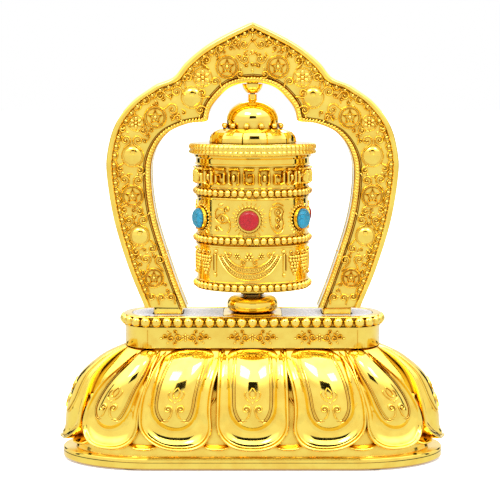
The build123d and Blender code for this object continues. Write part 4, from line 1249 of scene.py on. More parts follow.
@dataclass
class Arch:
    """Ogee arch of two half-round shells: rolled rim, scalloped leaf edge, medallions among
    scrolls, and a roped border round the opening."""

    inner: tuple[tuple[float, float], ...] = (
        (17.7, 41.7), (21.1, 50.7), (25.75, 65.7), (27.2, 77.3), (26.2, 83.9), (22.7, 88.9),
        (17.3, 91.4), (12.9, 91.9),
    )
    outer: tuple[tuple[float, float], ...] = (
        (29.2, 41.9), (33.4, 52.4), (37.2, 65.1), (39.1, 77.0), (39.0, 83.5), (36.9, 91.0),
        (32.3, 97.2), (26.6, 101.4),
    )
    inner_crown: tuple[tuple[float, float], ...] = (
        (12.0, 92.2), (11.2, 95.4), (9.1, 98.3), (6.4, 100.8), (3.4, 102.0), (0.0, 102.45),
    )
    outer_crown: tuple[tuple[float, float], ...] = (
        (25.7, 101.9), (21.0, 103.9), (17.7, 107.8), (12.6, 112.0), (7.0, 115.2), (0.0, 118.5),
    )
    half_depth: float = 5.97
    field_depth: float = 5.3
    foot_x: tuple[float, float] = (18.9, 26.9)
    foot_z: tuple[float, float] = (38.1, 41.9)
    foot_half_depth: float = 4.5
    medallions: tuple[tuple[Motif, float, float, float], ...] = (
        (Motif.STAR, 6.8, 106.5, 3.0),
        (Motif.ROSETTE, 13.3, 103.7, 2.5),
        (Motif.STONE, 16.1, 98.4, 2.95),
        (Motif.STAR, 26.0, 93.1, 2.95),
        (Motif.ROSETTE, 31.2, 91.6, 2.1),
        (Motif.STONE, 32.1, 82.8, 2.95),
        (Motif.STAR, 32.2, 72.0, 2.95),
        (Motif.STONE, 30.4, 61.2, 2.7),
        (Motif.STAR, 26.6, 49.9, 2.6),
    )
    curls: tuple[tuple[float, float, float, float, float, float], ...] = (
        (22.0, 44.6, 1.2, 200.0, -1.2, 1.6), (24.6, 44.5, 1.15, 330.0, 1.2, 1.6),
        (27.2, 44.9, 1.05, 20.0, -1.2, 1.6),
        (24.9, 54.7, 1.45, 300.0, 1.3, 2.4), (28.7, 54.9, 1.35, 220.0, -1.3, 2.2),
        (27.0, 57.9, 1.3, 120.0, 1.2, 1.8), (31.4, 57.0, 1.1, 60.0, -1.2, 1.8),
        (29.3, 65.5, 1.5, 290.0, 1.3, 2.4), (33.2, 65.4, 1.35, 230.0, -1.3, 2.2),
        (30.4, 68.0, 1.0, 110.0, 1.1, 1.2), (34.5, 68.3, 1.0, 80.0, -1.1, 1.4),
        (30.6, 76.2, 1.45, 290.0, 1.3, 2.2), (34.4, 76.4, 1.4, 240.0, -1.3, 2.2),
        (30.2, 78.9, 0.95, 100.0, 1.1, 1.2), (35.4, 79.4, 0.95, 80.0, -1.1, 1.2),
        (30.6, 86.9, 1.5, 300.0, 1.3, 2.2), (34.0, 87.0, 1.4, 240.0, -1.3, 2.0),
        (29.3, 89.6, 1.0, 150.0, 1.2, 1.4), (34.6, 90.0, 1.0, 60.0, -1.1, 1.2),
        (28.6, 97.6, 1.5, 20.0, 1.3, 2.4), (24.6, 98.9, 1.35, 150.0, -1.3, 2.2),
        (21.4, 95.2, 1.6, 40.0, 1.3, 2.6), (20.3, 99.9, 1.5, 160.0, -1.3, 2.4),
        (17.2, 103.6, 1.4, 330.0, 1.3, 2.2), (20.0, 92.9, 0.9, 20.0, 1.1, 1.4),
        (13.9, 95.0, 1.2, 120.0, -1.3, 2.0), (13.4, 99.6, 1.3, 250.0, 1.3, 1.8),
        (9.9, 102.6, 1.2, 180.0, -1.2, 2.0), (12.2, 108.2, 1.3, 300.0, 1.3, 2.0),
        (8.7, 111.2, 1.1, 320.0, 1.2, 1.8), (3.3, 104.6, 1.0, 260.0, 1.2, 1.4),
        (2.1, 108.6, 1.3, 340.0, -1.3, 1.8), (2.3, 112.5, 1.2, 200.0, 1.3, 1.8),
        (4.6, 112.9, 0.8, 60.0, -1.1, 1.0),
    )

    def edges(self) -> tuple[Array, Array]:
        """Samples the opening's edge and the outer edge side by side, from one leg to the other.

        Returns:
            Arrays of (x, height) of the opening's edge and of the outer edge.
        """
        legs = [smooth_curve(keys, 80) for keys in (self.inner, self.outer)]
        crowns = [smooth_curve(keys, 56) for keys in (self.inner_crown, self.outer_crown)]
        halves = [np.vstack(pair) for pair in zip(legs, crowns)]
        near, far = (
            np.vstack([half, half[-2::-1] * np.array([-1.0, 1.0])]) for half in halves
        )
        return near, far

    def shell(self) -> Array:
        """Carries the section of one half along the arch.

        Points of the section are measured from the opening's edge, from the outer edge, or as a
        share of the way between them. The right leg's end is drawn together to a point and closed;
        the left leg's end is open.

        Returns:
            Array (along, section, 3), the front half, with y negative.
        """
        near, far = self.edges()
        wide = np.linalg.norm(far - near, axis=1, keepdims=True)
        step = (far - near) / wide
        flat = self.field_depth
        rim = self.half_depth
        inside = (
            (0.15, 0.02), (0.0, 0.2), (0.0, rim - 1.05), (0.12, rim - 0.6), (0.45, rim - 0.32),
            (0.95, rim - 0.25), (1.45, rim - 0.35), (1.7, flat - 0.1), (1.85, flat - 0.45),
            (2.05, flat - 0.45), (2.25, flat - 0.05),
        )
        outside = (
            (1.95, flat - 0.05), (1.75, flat - 0.1), (1.6, rim - 0.4), (1.3, rim - 0.1),
            (0.85, rim), (0.42, rim - 0.12), (0.12, rim - 0.5), (0.0, rim - 1.0), (0.0, 0.2),
            (0.15, 0.02),
        )
        shares = ((0.3, flat + 0.03), (0.5, flat + 0.1), (0.7, flat + 0.03))
        columns = [(near + step * off, depth) for off, depth in inside]
        columns += [(near + (far - near) * share, depth) for share, depth in shares]
        columns += [(far - step * off, depth) for off, depth in outside]
        grid = np.stack(
            [np.stack([p[:, 0], 0 * p[:, 0] - depth, p[:, 1]], axis=-1) for p, depth in columns],
            axis=1,
        )
        point = np.repeat(grid[:1].mean(axis=1, keepdims=True), grid.shape[1], 1)
        return np.concatenate([point, grid])

    def foot(self, side: float) -> Array:
        """Shapes the block under one leg that stands in the deck's pocket.

        Its outline is a circle whose cosine and sine are raised to 0.3, a rounded oblong.

        Args:
            side: -1 for the left leg, 1 for the right.

        Returns:
            Array (levels, columns, 3), closed at both ends by a pole.
        """
        turn = np.linspace(0, 2 * math.pi, 48, endpoint=False)
        ring = np.stack([np.cos(turn), np.sin(turn)], axis=-1)
        flat = np.sign(ring) * np.abs(ring) ** 0.3
        middle = side * (self.foot_x[0] + self.foot_x[1]) / 2
        half = np.array([(self.foot_x[1] - self.foot_x[0]) / 2, self.foot_half_depth])
        low, high = self.foot_z
        rows = (
            (0.0, low), (0.97, low), (1.0, low + 0.15), (1.0, high - 0.5), (0.94, high), (0.0, high),
        )
        levels = [
            np.concatenate([flat * half * share + (middle, 0.0), np.full((48, 1), z)], axis=1)
            for share, z in rows
        ]
        return np.stack(levels)

    def medallion(self, motif: Motif, radius: float) -> Ornament:
        """Draws one medallion about the origin.

        Args:
            motif: kind of medallion.
            radius: its outer radius.

        Returns:
            The ornament.
        """
        made = Ornament()
        ring = arc((0.0, 0.0), radius, 0.0, 360.0)
        if motif is Motif.STONE:
            made.line(ring, 0.15, 0.3)
            made.stud(0.0, 0.0, radius * 0.88, 0.64)
            made.line(arc((0.0, radius * 0.35), radius * 0.22, 0.0, 360.0), 0.13, 0.66)
            return made
        if motif is Motif.STAR:
            made.line(ring, 0.2, 0.45)
            made.line(arc((0.0, 0.0), radius * 0.8, 0.0, 360.0), 0.13, 0.32)
            made.line(star_line((0.0, 0.0), radius * 0.68, radius * 0.3, 5), 0.17, 0.5)
            made.stud(0.0, 0.0, radius * 0.2, 0.6)
            return made
        made.line(ring, 0.17, 0.34)
        for angle in range(0, 360, 60):
            reach, lean = radius * 0.52, math.radians(angle + 30)
            spot = (reach * math.cos(lean), reach * math.sin(lean))
            made.stud(*spot, radius * 0.34, 0.5, radius * 0.22, angle + 30.0)
        made.stud(0.0, 0.0, radius * 0.24, 0.6)
        return made

    def drawing(self) -> Ornament:
        """Draws the right half of the field, mirrors it, and adds borders and filling.

        Returns:
            The ornament, x across the arch and height upwards.
        """
        half = Ornament()
        for motif, x, z, radius in self.medallions:
            half.add(self.medallion(motif, radius), (x, z))
        for x, z, radius, start, turns, tail in self.curls:
            half.line(curl((x, z), radius, start, turns, tail), 0.25, 0.5)
            half.stud(x, z, 0.34, 0.55)
            lean = math.radians(start + 200.0 * math.copysign(1, turns))
            spot = (x + 1.5 * radius * math.cos(lean), z + 1.5 * radius * math.sin(lean))
            half.stud(*spot, 0.55, 0.34, 0.26, math.degrees(lean))
        whole = Ornament()
        whole.add(half)
        whole.add(half, mirror=True)
        for z, reach in ((110.4, 0.75), (114.9, 0.6), (105.6, 0.5)):
            whole.stud(0.0, z, reach, 0.5, reach * 0.62, 90.0)
        self.leaf_edge(whole)
        self.filling(whole)
        self.rope(whole)
        return whole

    def filling(self, whole: Ornament) -> None:
        """Fills the field between medallions and scrolls with small curls and leaves.

        They stand on three lines along the arch, each wherever nothing larger is near.

        Args:
            whole: the drawing that they are added to.
        """
        near, far = self.edges()
        large = [(x, z, radius + 0.75) for _, x, z, radius in self.medallions]
        large += [(x, z, radius * 0.95) for x, z, radius, *_ in self.curls]
        taken = np.array([(side * x, z, reach) for x, z, reach in large for side in (-1.0, 1.0)])
        for track, share in enumerate((0.3, 0.5, 0.7)):
            line = spaced(near + (far - near) * share, 101 - 6 * track)
            for number, (x, z) in enumerate(line[3:-3]):
                if (np.hypot(taken[:, 0] - x, taken[:, 1] - z) < taken[:, 2]).any():
                    continue
                angle = FILLING_TURN * number + TRACK_TURN * track
                turns = 1.1 if (number + track) % 2 == 0 else -1.1
                whole.line(curl((x, z), 0.62, angle, turns, 0.9), 0.15, 0.4)
                whole.stud(x, z, 0.24, 0.44)

    def leaf_edge(self, whole: Ornament) -> None:
        """Adds the scallops along the rim: small arches with a bead in each.

        Args:
            whole: the drawing that they are added to.
        """
        near, far = self.edges()
        step = (far - near) / np.linalg.norm(far - near, axis=1, keepdims=True)
        line = spaced(far - step * 1.75, 77)
        run = np.gradient(line, axis=0)
        lean = np.degrees(np.arctan2(run[:, 1], run[:, 0]))
        for (x, z), angle in zip(line[2:-2], lean[2:-2]):
            leaf = Ornament()
            leaf.line(arc((0.0, 0.0), 1.25, 0.0, -180.0), 0.19, 0.42)
            leaf.stud(0.0, -0.42, 0.42, 0.4, 0.6)
            whole.add(leaf, (x, z), turn=angle + 180.0)

    def rope(self, whole: Ornament) -> None:
        """Adds slanting strands along the border of the opening.

        Args:
            whole: the drawing that they are added to.
        """
        near, far = self.edges()
        step = (far - near) / np.linalg.norm(far - near, axis=1, keepdims=True)
        line = spaced(near + step * 0.95, 190)
        run = np.gradient(line, axis=0)
        lean = np.degrees(np.arctan2(run[:, 1], run[:, 0])) + 55.0
        for (x, z), angle in zip(line[1:-1], lean[1:-1]):
            whole.stud(x, z, 0.72, 0.66, 0.3, angle)

    def build(self) -> list[bpy.types.Object]:
        """Builds both halves, their feet and the ornament of both faces.

        Returns:
            The pieces.
        """
        pieces = []
        front = self.shell()
        feet = np.stack([self.foot(side) for side in (-1.0, 1.0)])
        feet[..., 1] = np.minimum(feet[..., 1], -0.02)
        drawing = self.drawing()
        for name, side in (("front", 1.0), ("back", -1.0)):
            turn = np.array([1.0, side, 1.0])
            half = Sculpt().grids(front * turn, wrap_columns=True)
            for foot in feet:
                half.grids(foot * turn, wrap_columns=True)
            lines = Sculpt().ornament(drawing, self.on_face(side))
            node = (f"arch_{name}",)
            pieces.append(half.build(f"arch_shell_{name}", "root", (PLATED_GOLD,), node))
            pieces.append(lines.build(f"arch_ornament_{name}", "root", (PLATED_GOLD,), node))
        return pieces

    def on_face(self, side: float) -> Place:
        """Gives a face of the arch as a place for ornament.

        Args:
            side: 1 for the front face, -1 for the back.

        Returns:
            Function that puts (u, v, height) on the face.
        """

        def place(u: Array, v: Array, height: Array) -> Array:
            """Raises the drawing from the face, no higher than the arch's rim.

            Args:
                u: distance from the middle.
                v: height above the ground.
                height: distance in front of the face.

            Returns:
                Array of points (..., 3).
            """
            out = np.minimum(self.field_depth + height, self.half_depth + 0.02)
            return np.stack([u, -side * out, v], axis=-1)

        return place


# ---------------------------------------------------------------- drum
@dataclass
class Drum:
    """Prayer drum: a thin wall with three rows of beads, a fret band, jewels among line work, and
    garlands, under a scalloped flange."""

    radius: float = 15.1
    bottom: float = 47.0
    top: float = 83.2
    wall: float = 1.4
    bead_rows: tuple[float, ...] = (48.25, 60.7, 73.3)
    bead_radius: float = 0.98
    beads: int = 50
    flange: float = 17.35
    flange_top: float = 86.2
    scallops: int = 72
    lid_bore: float = 13.6
    jewel_height: float = 66.3
    bezel: float = 3.1
    first_jewel: float = -93.5
    fret_units: int = 24

    def wall_grid(self) -> Array:
        """Turns the wall's section: ledges beside each row of beads, ridges and plain bands.

        Returns:
            Array (section, columns, 3).
        """
        r = self.radius
        profile: list[tuple[float, float]] = [(r - self.wall, self.bottom), (r, self.bottom)]
        profile += [(r + 0.25, self.bottom + 0.08), (r + 0.3, self.bottom + 0.25)]
        for height in self.bead_rows:
            profile += [(r + 0.3, height - 1.12), (r + 0.05, height - 1.0), (r - 0.1, height)]
            profile += [(r + 0.05, height + 1.0), (r + 0.3, height + 1.12), (r + 0.3, height + 1.3)]
            profile += [(r, height + 1.45)]
            if height == self.bead_rows[0]:
                profile += [(r, 58.75), (r + 0.34, 58.95), (r + 0.34, 59.25), (r + 0.1, 59.4)]
            elif height == self.bead_rows[1]:
                profile += [(r, 71.5), (r + 0.25, 71.7), (r + 0.25, 71.95), (r + 0.1, 72.1)]
        profile += [(r, 80.3), (r + 0.55, 80.45), (r + 0.6, 80.75), (r + 0.35, 80.95)]
        profile += [(r + 0.35, 82.2)]
        profile += [(r + 0.8, 82.6), (r + 0.8, self.top - 0.02), (r - self.wall, self.top - 0.02)]
        return revolve(profile, 192)

    def flange_grid(self) -> Array:
        """Turns the flange: its rim is drawn in and out by small lobes that fade to its top.

        Each lobe is the size of a cosine raised to 0.7, which leaves a narrow notch between two.

        Returns:
            Array (section, columns, 3).
        """
        r, low, high = self.flange - 0.02, self.top, self.flange_top
        profile = (
            (self.lid_bore, low - 1.6), (self.lid_bore, low), (r - 0.9, low), (r - 0.3, low + 0.12),
            (r, low + 0.45), (r - 0.1, low + 0.9), (r - 0.35, low + 1.2), (r - 0.1, low + 1.5),
            (r, low + 1.9), (r - 0.05, low + 2.35), (r - 0.35, low + 2.75), (r - 0.9, high - 0.02),
            (r - 1.3, high), (11.6, high), (11.2, low - 1.6),
        )
        depth = (0, 0, 0, 0.1, 0.24, 0.24, 0.1, 0.24, 0.3, 0.3, 0.2, 0.1, 0, 0, 0)
        grid = revolve(profile, self.scallops * 6)
        turn = np.linspace(0, 2 * math.pi, self.scallops * 6, endpoint=False)
        lobe = np.abs(np.cos(turn * self.scallops / 2)) ** 0.7
        shrink = 1 - np.array(depth)[:, None] * (1 - lobe)[None, :] / r
        grid[..., :2] *= shrink[..., None]
        return grid

    def on_wall(self, first: float = 0.0) -> Place:
        """Gives the wall as a place for ornament.

        Args:
            first: angle in degrees at which the length round the drum starts.

        Returns:
            Function that puts (u, v, height) on the wall.
        """

        def place(u: Array, v: Array, height: Array) -> Array:
            """Turns the length into an angle and adds the height to the radius.

            Args:
                u: length round the drum.
                v: height above the ground.
                height: distance in front of the wall.

            Returns:
                Array of points (..., 3).
            """
            turn = math.radians(first) + u / self.radius
            reach = self.radius + height
            return np.stack([reach * np.cos(turn), reach * np.sin(turn), v + 0 * reach], axis=-1)

        return place

    def bead_grids(self) -> Array:
        """Spaces the beads of every row evenly round the wall.

        Returns:
            Array (beads, rows, columns, 3).
        """
        turn = np.linspace(0, 2 * math.pi, self.beads, endpoint=False)
        seat = self.radius + 0.18
        centres = [
            np.stack([seat * np.cos(turn), seat * np.sin(turn), 0 * turn + height], axis=-1)
            for height in self.bead_rows
        ]
        return np.concatenate(centres)[:, None, None, :] + bead(self.bead_radius, 8, 12)[None]

    def fret(self) -> Ornament:
        """Draws the fret band: in turn a square spiral hung from a bar, and a bud between posts.

        It is plain geometry and spells nothing.

        Returns:
            The ornament, x round the drum and height upwards.
        """
        pitch = 2 * math.pi * self.radius / self.fret_units
        hook = Ornament()
        hook.line(np.array([[-1.5, 79.6], [1.55, 79.6]]), 0.46, 1.25)
        spiral = [[1.3, 79.3], [1.3, 75.9], [-1.1, 75.9], [-1.1, 78.2], [0.2, 78.2], [0.2, 77.1]]
        hook.line(np.array(spiral), 0.4, 1.2)
        bud = Ornament()
        bud.line(np.array([[-1.5, 79.6], [1.5, 79.6]]), 0.46, 1.25)
        bud.line(np.array([[-1.25, 79.3], [-1.25, 76.0], [-0.5, 75.4]]), 0.4, 1.15)
        bud.line(np.array([[1.25, 79.3], [1.25, 76.0], [0.5, 75.4]]), 0.4, 1.15)
        bud.stud(0.0, 77.4, 1.15, 1.2, 0.55, 90.0)
        whole = Ornament()
        for unit in range(self.fret_units):
            shape = hook if unit % 2 == 0 else bud
            whole.add(shape, (unit * pitch, 0.0), mirror=unit % 4 == 0)
        return whole

    def stone_surround(self) -> Ornament:
        """Draws round one stone: a ring of grains, and fine rays that reach out from it.

        Returns:
            The ornament.
        """
        made = Ornament()
        turn = np.radians(np.arange(0, 360, 15))
        for angle in turn:
            away = np.array([math.cos(angle), math.sin(angle)])
            made.stud(*(away * (self.bezel + 0.42) + (0.0, self.jewel_height)), 0.33, 0.36)
        for angle in turn + math.radians(7.5):
            away = np.array([math.cos(angle), math.sin(angle)])
            start, end = self.bezel + 0.85, self.bezel + 1.75
            ray = np.stack([away * start, away * end]) + (0.0, self.jewel_height)
            made.line(ray, 0.11, 0.22)
        return made

    def leaf_scroll(self) -> Ornament:
        """Draws the outlined leaf left of a coral stone: an almond with an eye and long tails.

        Returns:
            The ornament.
        """
        made, z = Ornament(), self.jewel_height
        almond = (
            (-1.9, 0.2), (-0.6, 1.3), (1.1, 1.2), (2.2, -0.1), (0.9, -0.9), (-0.9, -0.8), (-1.9, 0.2),
        )
        made.line(smooth_curve(almond, 80) + (0.0, z), 0.2, 0.45)
        made.line(arc((0.1, z + 0.2), 0.5, 0.0, 360.0), 0.15, 0.4)
        for tail in (
            ((-2.0, 0.3), (-2.2, 1.9), (-1.0, 2.9), (0.6, 2.5)),
            ((1.9, 0.4), (2.5, -1.0), (2.3, -2.7), (1.6, -3.6)),
        ):
            made.line(smooth_curve(tail, 50) + (0.0, z), 0.2, 0.45)
        made.line(curl((1.6, z + 2.7), 0.9, 200.0, -1.2, 1.2), 0.18, 0.42)
        made.line(curl((-1.4, z - 2.5), 0.9, 30.0, 1.2, 1.4), 0.18, 0.42)
        made.stud(-0.3, z + 4.0, 0.9, 0.4, 0.4, 10.0)
        return made

    def stacked_loops(self) -> Ornament:
        """Draws the stack right of a coral stone: three loops, each smaller, in one outline.

        Returns:
            The ornament.
        """
        made, z = Ornament(), self.jewel_height
        shell = (
            (-1.9, 3.0), (0.2, 3.5), (2.0, 2.4), (1.5, 0.7), (2.0, -1.0), (1.2, -3.2), (-0.4, -3.4),
            (-1.7, -1.6), (-2.2, 0.8), (-1.9, 3.0),
        )
        made.line(smooth_curve(shell, 120) + (0.0, z), 0.2, 0.45)
        for x, up, radius in ((0.1, 1.9, 0.85), (0.25, 0.0, 0.72), (0.1, -1.8, 0.6)):
            made.line(arc((x, z + up), radius, 0.0, 360.0), 0.16, 0.42)
            made.stud(x, z + up, radius * 0.4, 0.4)
        made.line(smooth_curve(((-1.6, 3.9), (0.2, 4.4), (2.0, 3.6)), 30) + (0.0, z), 0.18, 0.4)
        return made

    def garland(self) -> Ornament:
        """Draws one garland: five hanging cords, with flowers above and a tassel at each end.

        The cords rise as the distance from the middle raised to 2.6; the second and the fourth are
        rows of beads.

        Returns:
            The ornament.
        """
        made = Ornament()
        half = 9.1
        x = np.linspace(-half, half, 60)
        for number, low in enumerate((50.45, 51.25, 52.05, 52.9, 53.7)):
            reach = half - 0.62 * number
            cord = np.stack([x * reach / half, low + (57.3 - low) * np.abs(x / half) ** 2.6], axis=1)
            if number in (1, 3):
                for spot in spaced(cord, 34)[1:-1]:
                    made.stud(spot[0], spot[1], 0.25, 0.34)
            else:
                made.line(cord, 0.2, 0.42)
        for spot, reach in (((0.0, 56.5), 1.15), ((-3.3, 56.7), 0.85), ((3.3, 56.7), 0.85)):
            made.stud(*spot, reach * 0.36, 0.6)
            for angle in range(0, 360, 60):
                lean = math.radians(angle)
                made.stud(
                    spot[0] + reach * 0.72 * math.cos(lean),
                    spot[1] + reach * 0.72 * math.sin(lean),
                    reach * 0.42, 0.42, reach * 0.3, float(angle),
                )
        for side in (-1.0, 1.0):
            made.line(curl((side * 1.7, 55.0), 0.8, 90.0, side * 1.2, 1.0), 0.17, 0.36)
            start = 200.0 - 220.0 * (side > 0)
            made.line(curl((side * 5.4, 57.2), 0.75, start, -side * 1.1, 1.4), 0.17, 0.36)
            made.line(np.array([[side * 9.75, 57.3], [side * 9.75, 51.9]]), 0.34, 0.5)
            made.stud(side * 9.75, 51.5, 0.62, 0.6, 0.45, 90.0)
            made.line(np.array([[side * 10.5, 57.3], [side * 10.5, 52.6]]), 0.2, 0.4)
            made.stud(side * 9.6, 57.8, 0.7, 0.6, 0.55)
        return made

    def grapes(self) -> Ornament:
        """Draws a bunch of grapes under a leaf, narrower row by row.

        Returns:
            The ornament.
        """
        made = Ornament()
        for row, count in enumerate((4, 4, 3, 3, 2, 1)):
            for number in range(count):
                x = (number - (count - 1) / 2) * 1.02
                made.stud(x, 56.1 - 0.88 * row, 0.56, 0.62)
        made.line(curl((-1.1, 57.5), 0.6, 300.0, -1.1, 0.8), 0.17, 0.4)
        made.line(curl((1.1, 57.5), 0.6, 240.0, 1.1, 0.8), 0.17, 0.4)
        return made

    def drawing(self) -> Ornament:
        """Lays out the jewel band and the garland band, three times round.

        Returns:
            The ornament.
        """
        third = 2 * math.pi * self.radius / 3
        unit = Ornament()
        unit.add(self.stone_surround())
        unit.add(self.stone_surround(), (third / 2, 0.0))
        unit.add(self.leaf_scroll(), (-third / 4 + 0.2, 0.0))
        unit.add(self.stacked_loops(), (third / 4 - 0.2, 0.0))
        unit.add(self.garland())
        unit.add(self.grapes(), (third / 2 - 2.4, 0.0))
        unit.add(self.grapes(), (third / 2 + 2.4, 0.0))
        whole = Ornament()
        for copy in range(3):
            whole.add(unit, (copy * third, 0.0))
        return whole

    def build(self) -> list[bpy.types.Object]:
        """Builds wall, beads, flange and line work, all riding on the drum.

        Returns:
            The pieces.
        """
        plated, shell = (PLATED_GOLD,), ("drum_shell",)
        wall = Sculpt().grids(self.wall_grid(), wrap_rows=True, wrap_columns=True)
        beads = Sculpt().grids(self.bead_grids(), wrap_columns=True)
        flange = Sculpt().grids(self.flange_grid(), wrap_rows=True, wrap_columns=True)
        place = self.on_wall(self.first_jewel)
        fret = Sculpt().ornament(self.fret(), place)
        lines = Sculpt().ornament(self.drawing(), place)
        return [
            wall.build("drum_wall", "drum", plated, shell),
            beads.build("drum_beads", "drum", (POLISHED_GOLD,), shell),
            flange.build("drum_flange", "drum", plated, ("drum_lid",), 60.0),
            fret.build("drum_fret", "drum", plated, shell),
            lines.build("drum_line_work", "drum", plated, shell),
        ]


# ---------------------------------------------------------------- roof and boss
@dataclass
class Roof:
    """Roof of the drum: a collar of sloping facets with a bead over each corner."""

    facets: int = 12
    turn: float = -72.0
    foot: float = 86.22
    top: float = 89.98
    foot_radius: float = 11.75
    top_radius: float = 8.95
    bore: float = 3.1
    bead_radius: float = 0.78
    bead_circle: float = 7.85

    def collar(self) -> Array:
        """Carries the collar's section round a regular polygon.

        The radius of each side is the corner's radius times cos(half a side's angle) / cos(angle
        from the side's middle). Each facet swells as a cosine across it, and a rib runs up every
        corner as a bell curve.

        Returns:
            Array (section, columns, 3).
        """
        columns = self.facets * 24
        share = 2 * math.pi / self.facets
        turn = np.linspace(0, 2 * math.pi, columns, endpoint=False)
        middle = np.mod(turn, share) - share / 2
        side = math.cos(share / 2) / np.cos(middle)
        pillow = np.cos(math.pi * middle / share)
        rib = np.exp(-(((np.abs(middle) - share / 2) / 0.03) ** 2))
        wide, low = self.foot_radius, self.foot
        profile = np.array([
            (self.bore, low), (wide - 0.1, low), (wide, low + 0.1), (wide, low + 0.5),
            (wide - 0.1, low + 1.3), (wide - 0.5, low + 2.1), (wide - 1.25, low + 2.85),
            (self.top_radius, self.top - 0.15), (self.top_radius - 0.3, self.top),
            (self.bore, self.top),
        ])
        swell = np.array([0.0, 0.0, 0.0, 0.0, 0.15, 0.3, 0.3, 0.05, 0.0, 0.0])[:, None]
        ribbed = np.array([0.0, 0.0, 0.25, 0.3, 0.3, 0.32, 0.34, 0.2, 0.0, 0.0])[:, None]
        angle = turn + math.radians(self.turn)
        reach = profile[:, :1] * side + swell * pillow + ribbed * rib
        z = profile[:, 1:] + 0 * reach
        return np.stack([reach * np.cos(angle), reach * np.sin(angle), z], axis=-1)

    def beads(self) -> Array:
        """Sets one bead on the collar's top over every corner.

        Returns:
            Array (beads, rows, columns, 3).
        """
        angle = np.radians(self.turn) + np.arange(self.facets) * 2 * math.pi / self.facets
        height = self.top + self.bead_radius + 0 * angle
        centres = np.stack(
            [self.bead_circle * np.cos(angle), self.bead_circle * np.sin(angle), height], axis=-1
        )
        return centres[:, None, None, :] + bead(self.bead_radius, 9, 14)[None]

    def build(self) -> list[bpy.types.Object]:
        """Builds collar and beads, riding on the drum.

        Returns:
            The pieces.
        """
        gold = (POLISHED_GOLD,)
        collar = Sculpt().grids(self.collar(), wrap_rows=True, wrap_columns=True)
        beads = Sculpt().grids(self.beads(), wrap_columns=True)
        return [
            collar.build("roof_facets", "drum", gold, ("roof_collar",), 14.0),
            beads.build("roof_pearls", "drum", gold, ("roof_beads",)),
        ]


@dataclass
class Boss:
    """Cushion under the drum, round at its side like a pill."""

    foot: float = 40.0
    top: float = 44.48
    radius: float = 6.98
    bore: float = 3.05
    rounding: float = 2.6

    def build(self) -> list[bpy.types.Object]:
        """Turns the section: flat top and foot, and a side that bulges as a half oval.

        Returns:
            The piece, in a list.
        """
        turn = np.linspace(-math.pi / 2, math.pi / 2, 19)
        half = (self.top - self.foot) / 2
        middle = self.foot + half
        flat = self.radius - self.rounding
        side = [
            (
                flat + self.rounding * math.cos(a) ** 0.8,
                middle + half * math.copysign(abs(math.sin(a)) ** 0.9, a),
            )
            for a in turn[1:-1]
        ]
        profile = [(self.bore, self.foot), (flat, self.foot)] + side
        profile += [(flat, self.top), (self.bore, self.top)]
        cushion = Sculpt().grids(revolve(profile, 96), wrap_rows=True, wrap_columns=True)
        return [cushion.build("boss_cushion", "root", (POLISHED_GOLD,), ("drive_boss",))]


# ---------------------------------------------------------------- carried-over pieces
def dress_nodes(nodes: dict[str, bpy.types.Object]) -> None:
    """Gives every CAD node that stays in sight, or inside, the finish its slot names.

    Args:
        nodes: the frame's CAD nodes.
    """
    finishes = {finish.slot: finish for finish in FINISHES}
    for name, node in nodes.items():
        for place in node.material_slots:
            slot = place.material.name.split(".")[0]
            place.material = finishes[slot].material()
        log.info("%s: finish %s", name, slot)


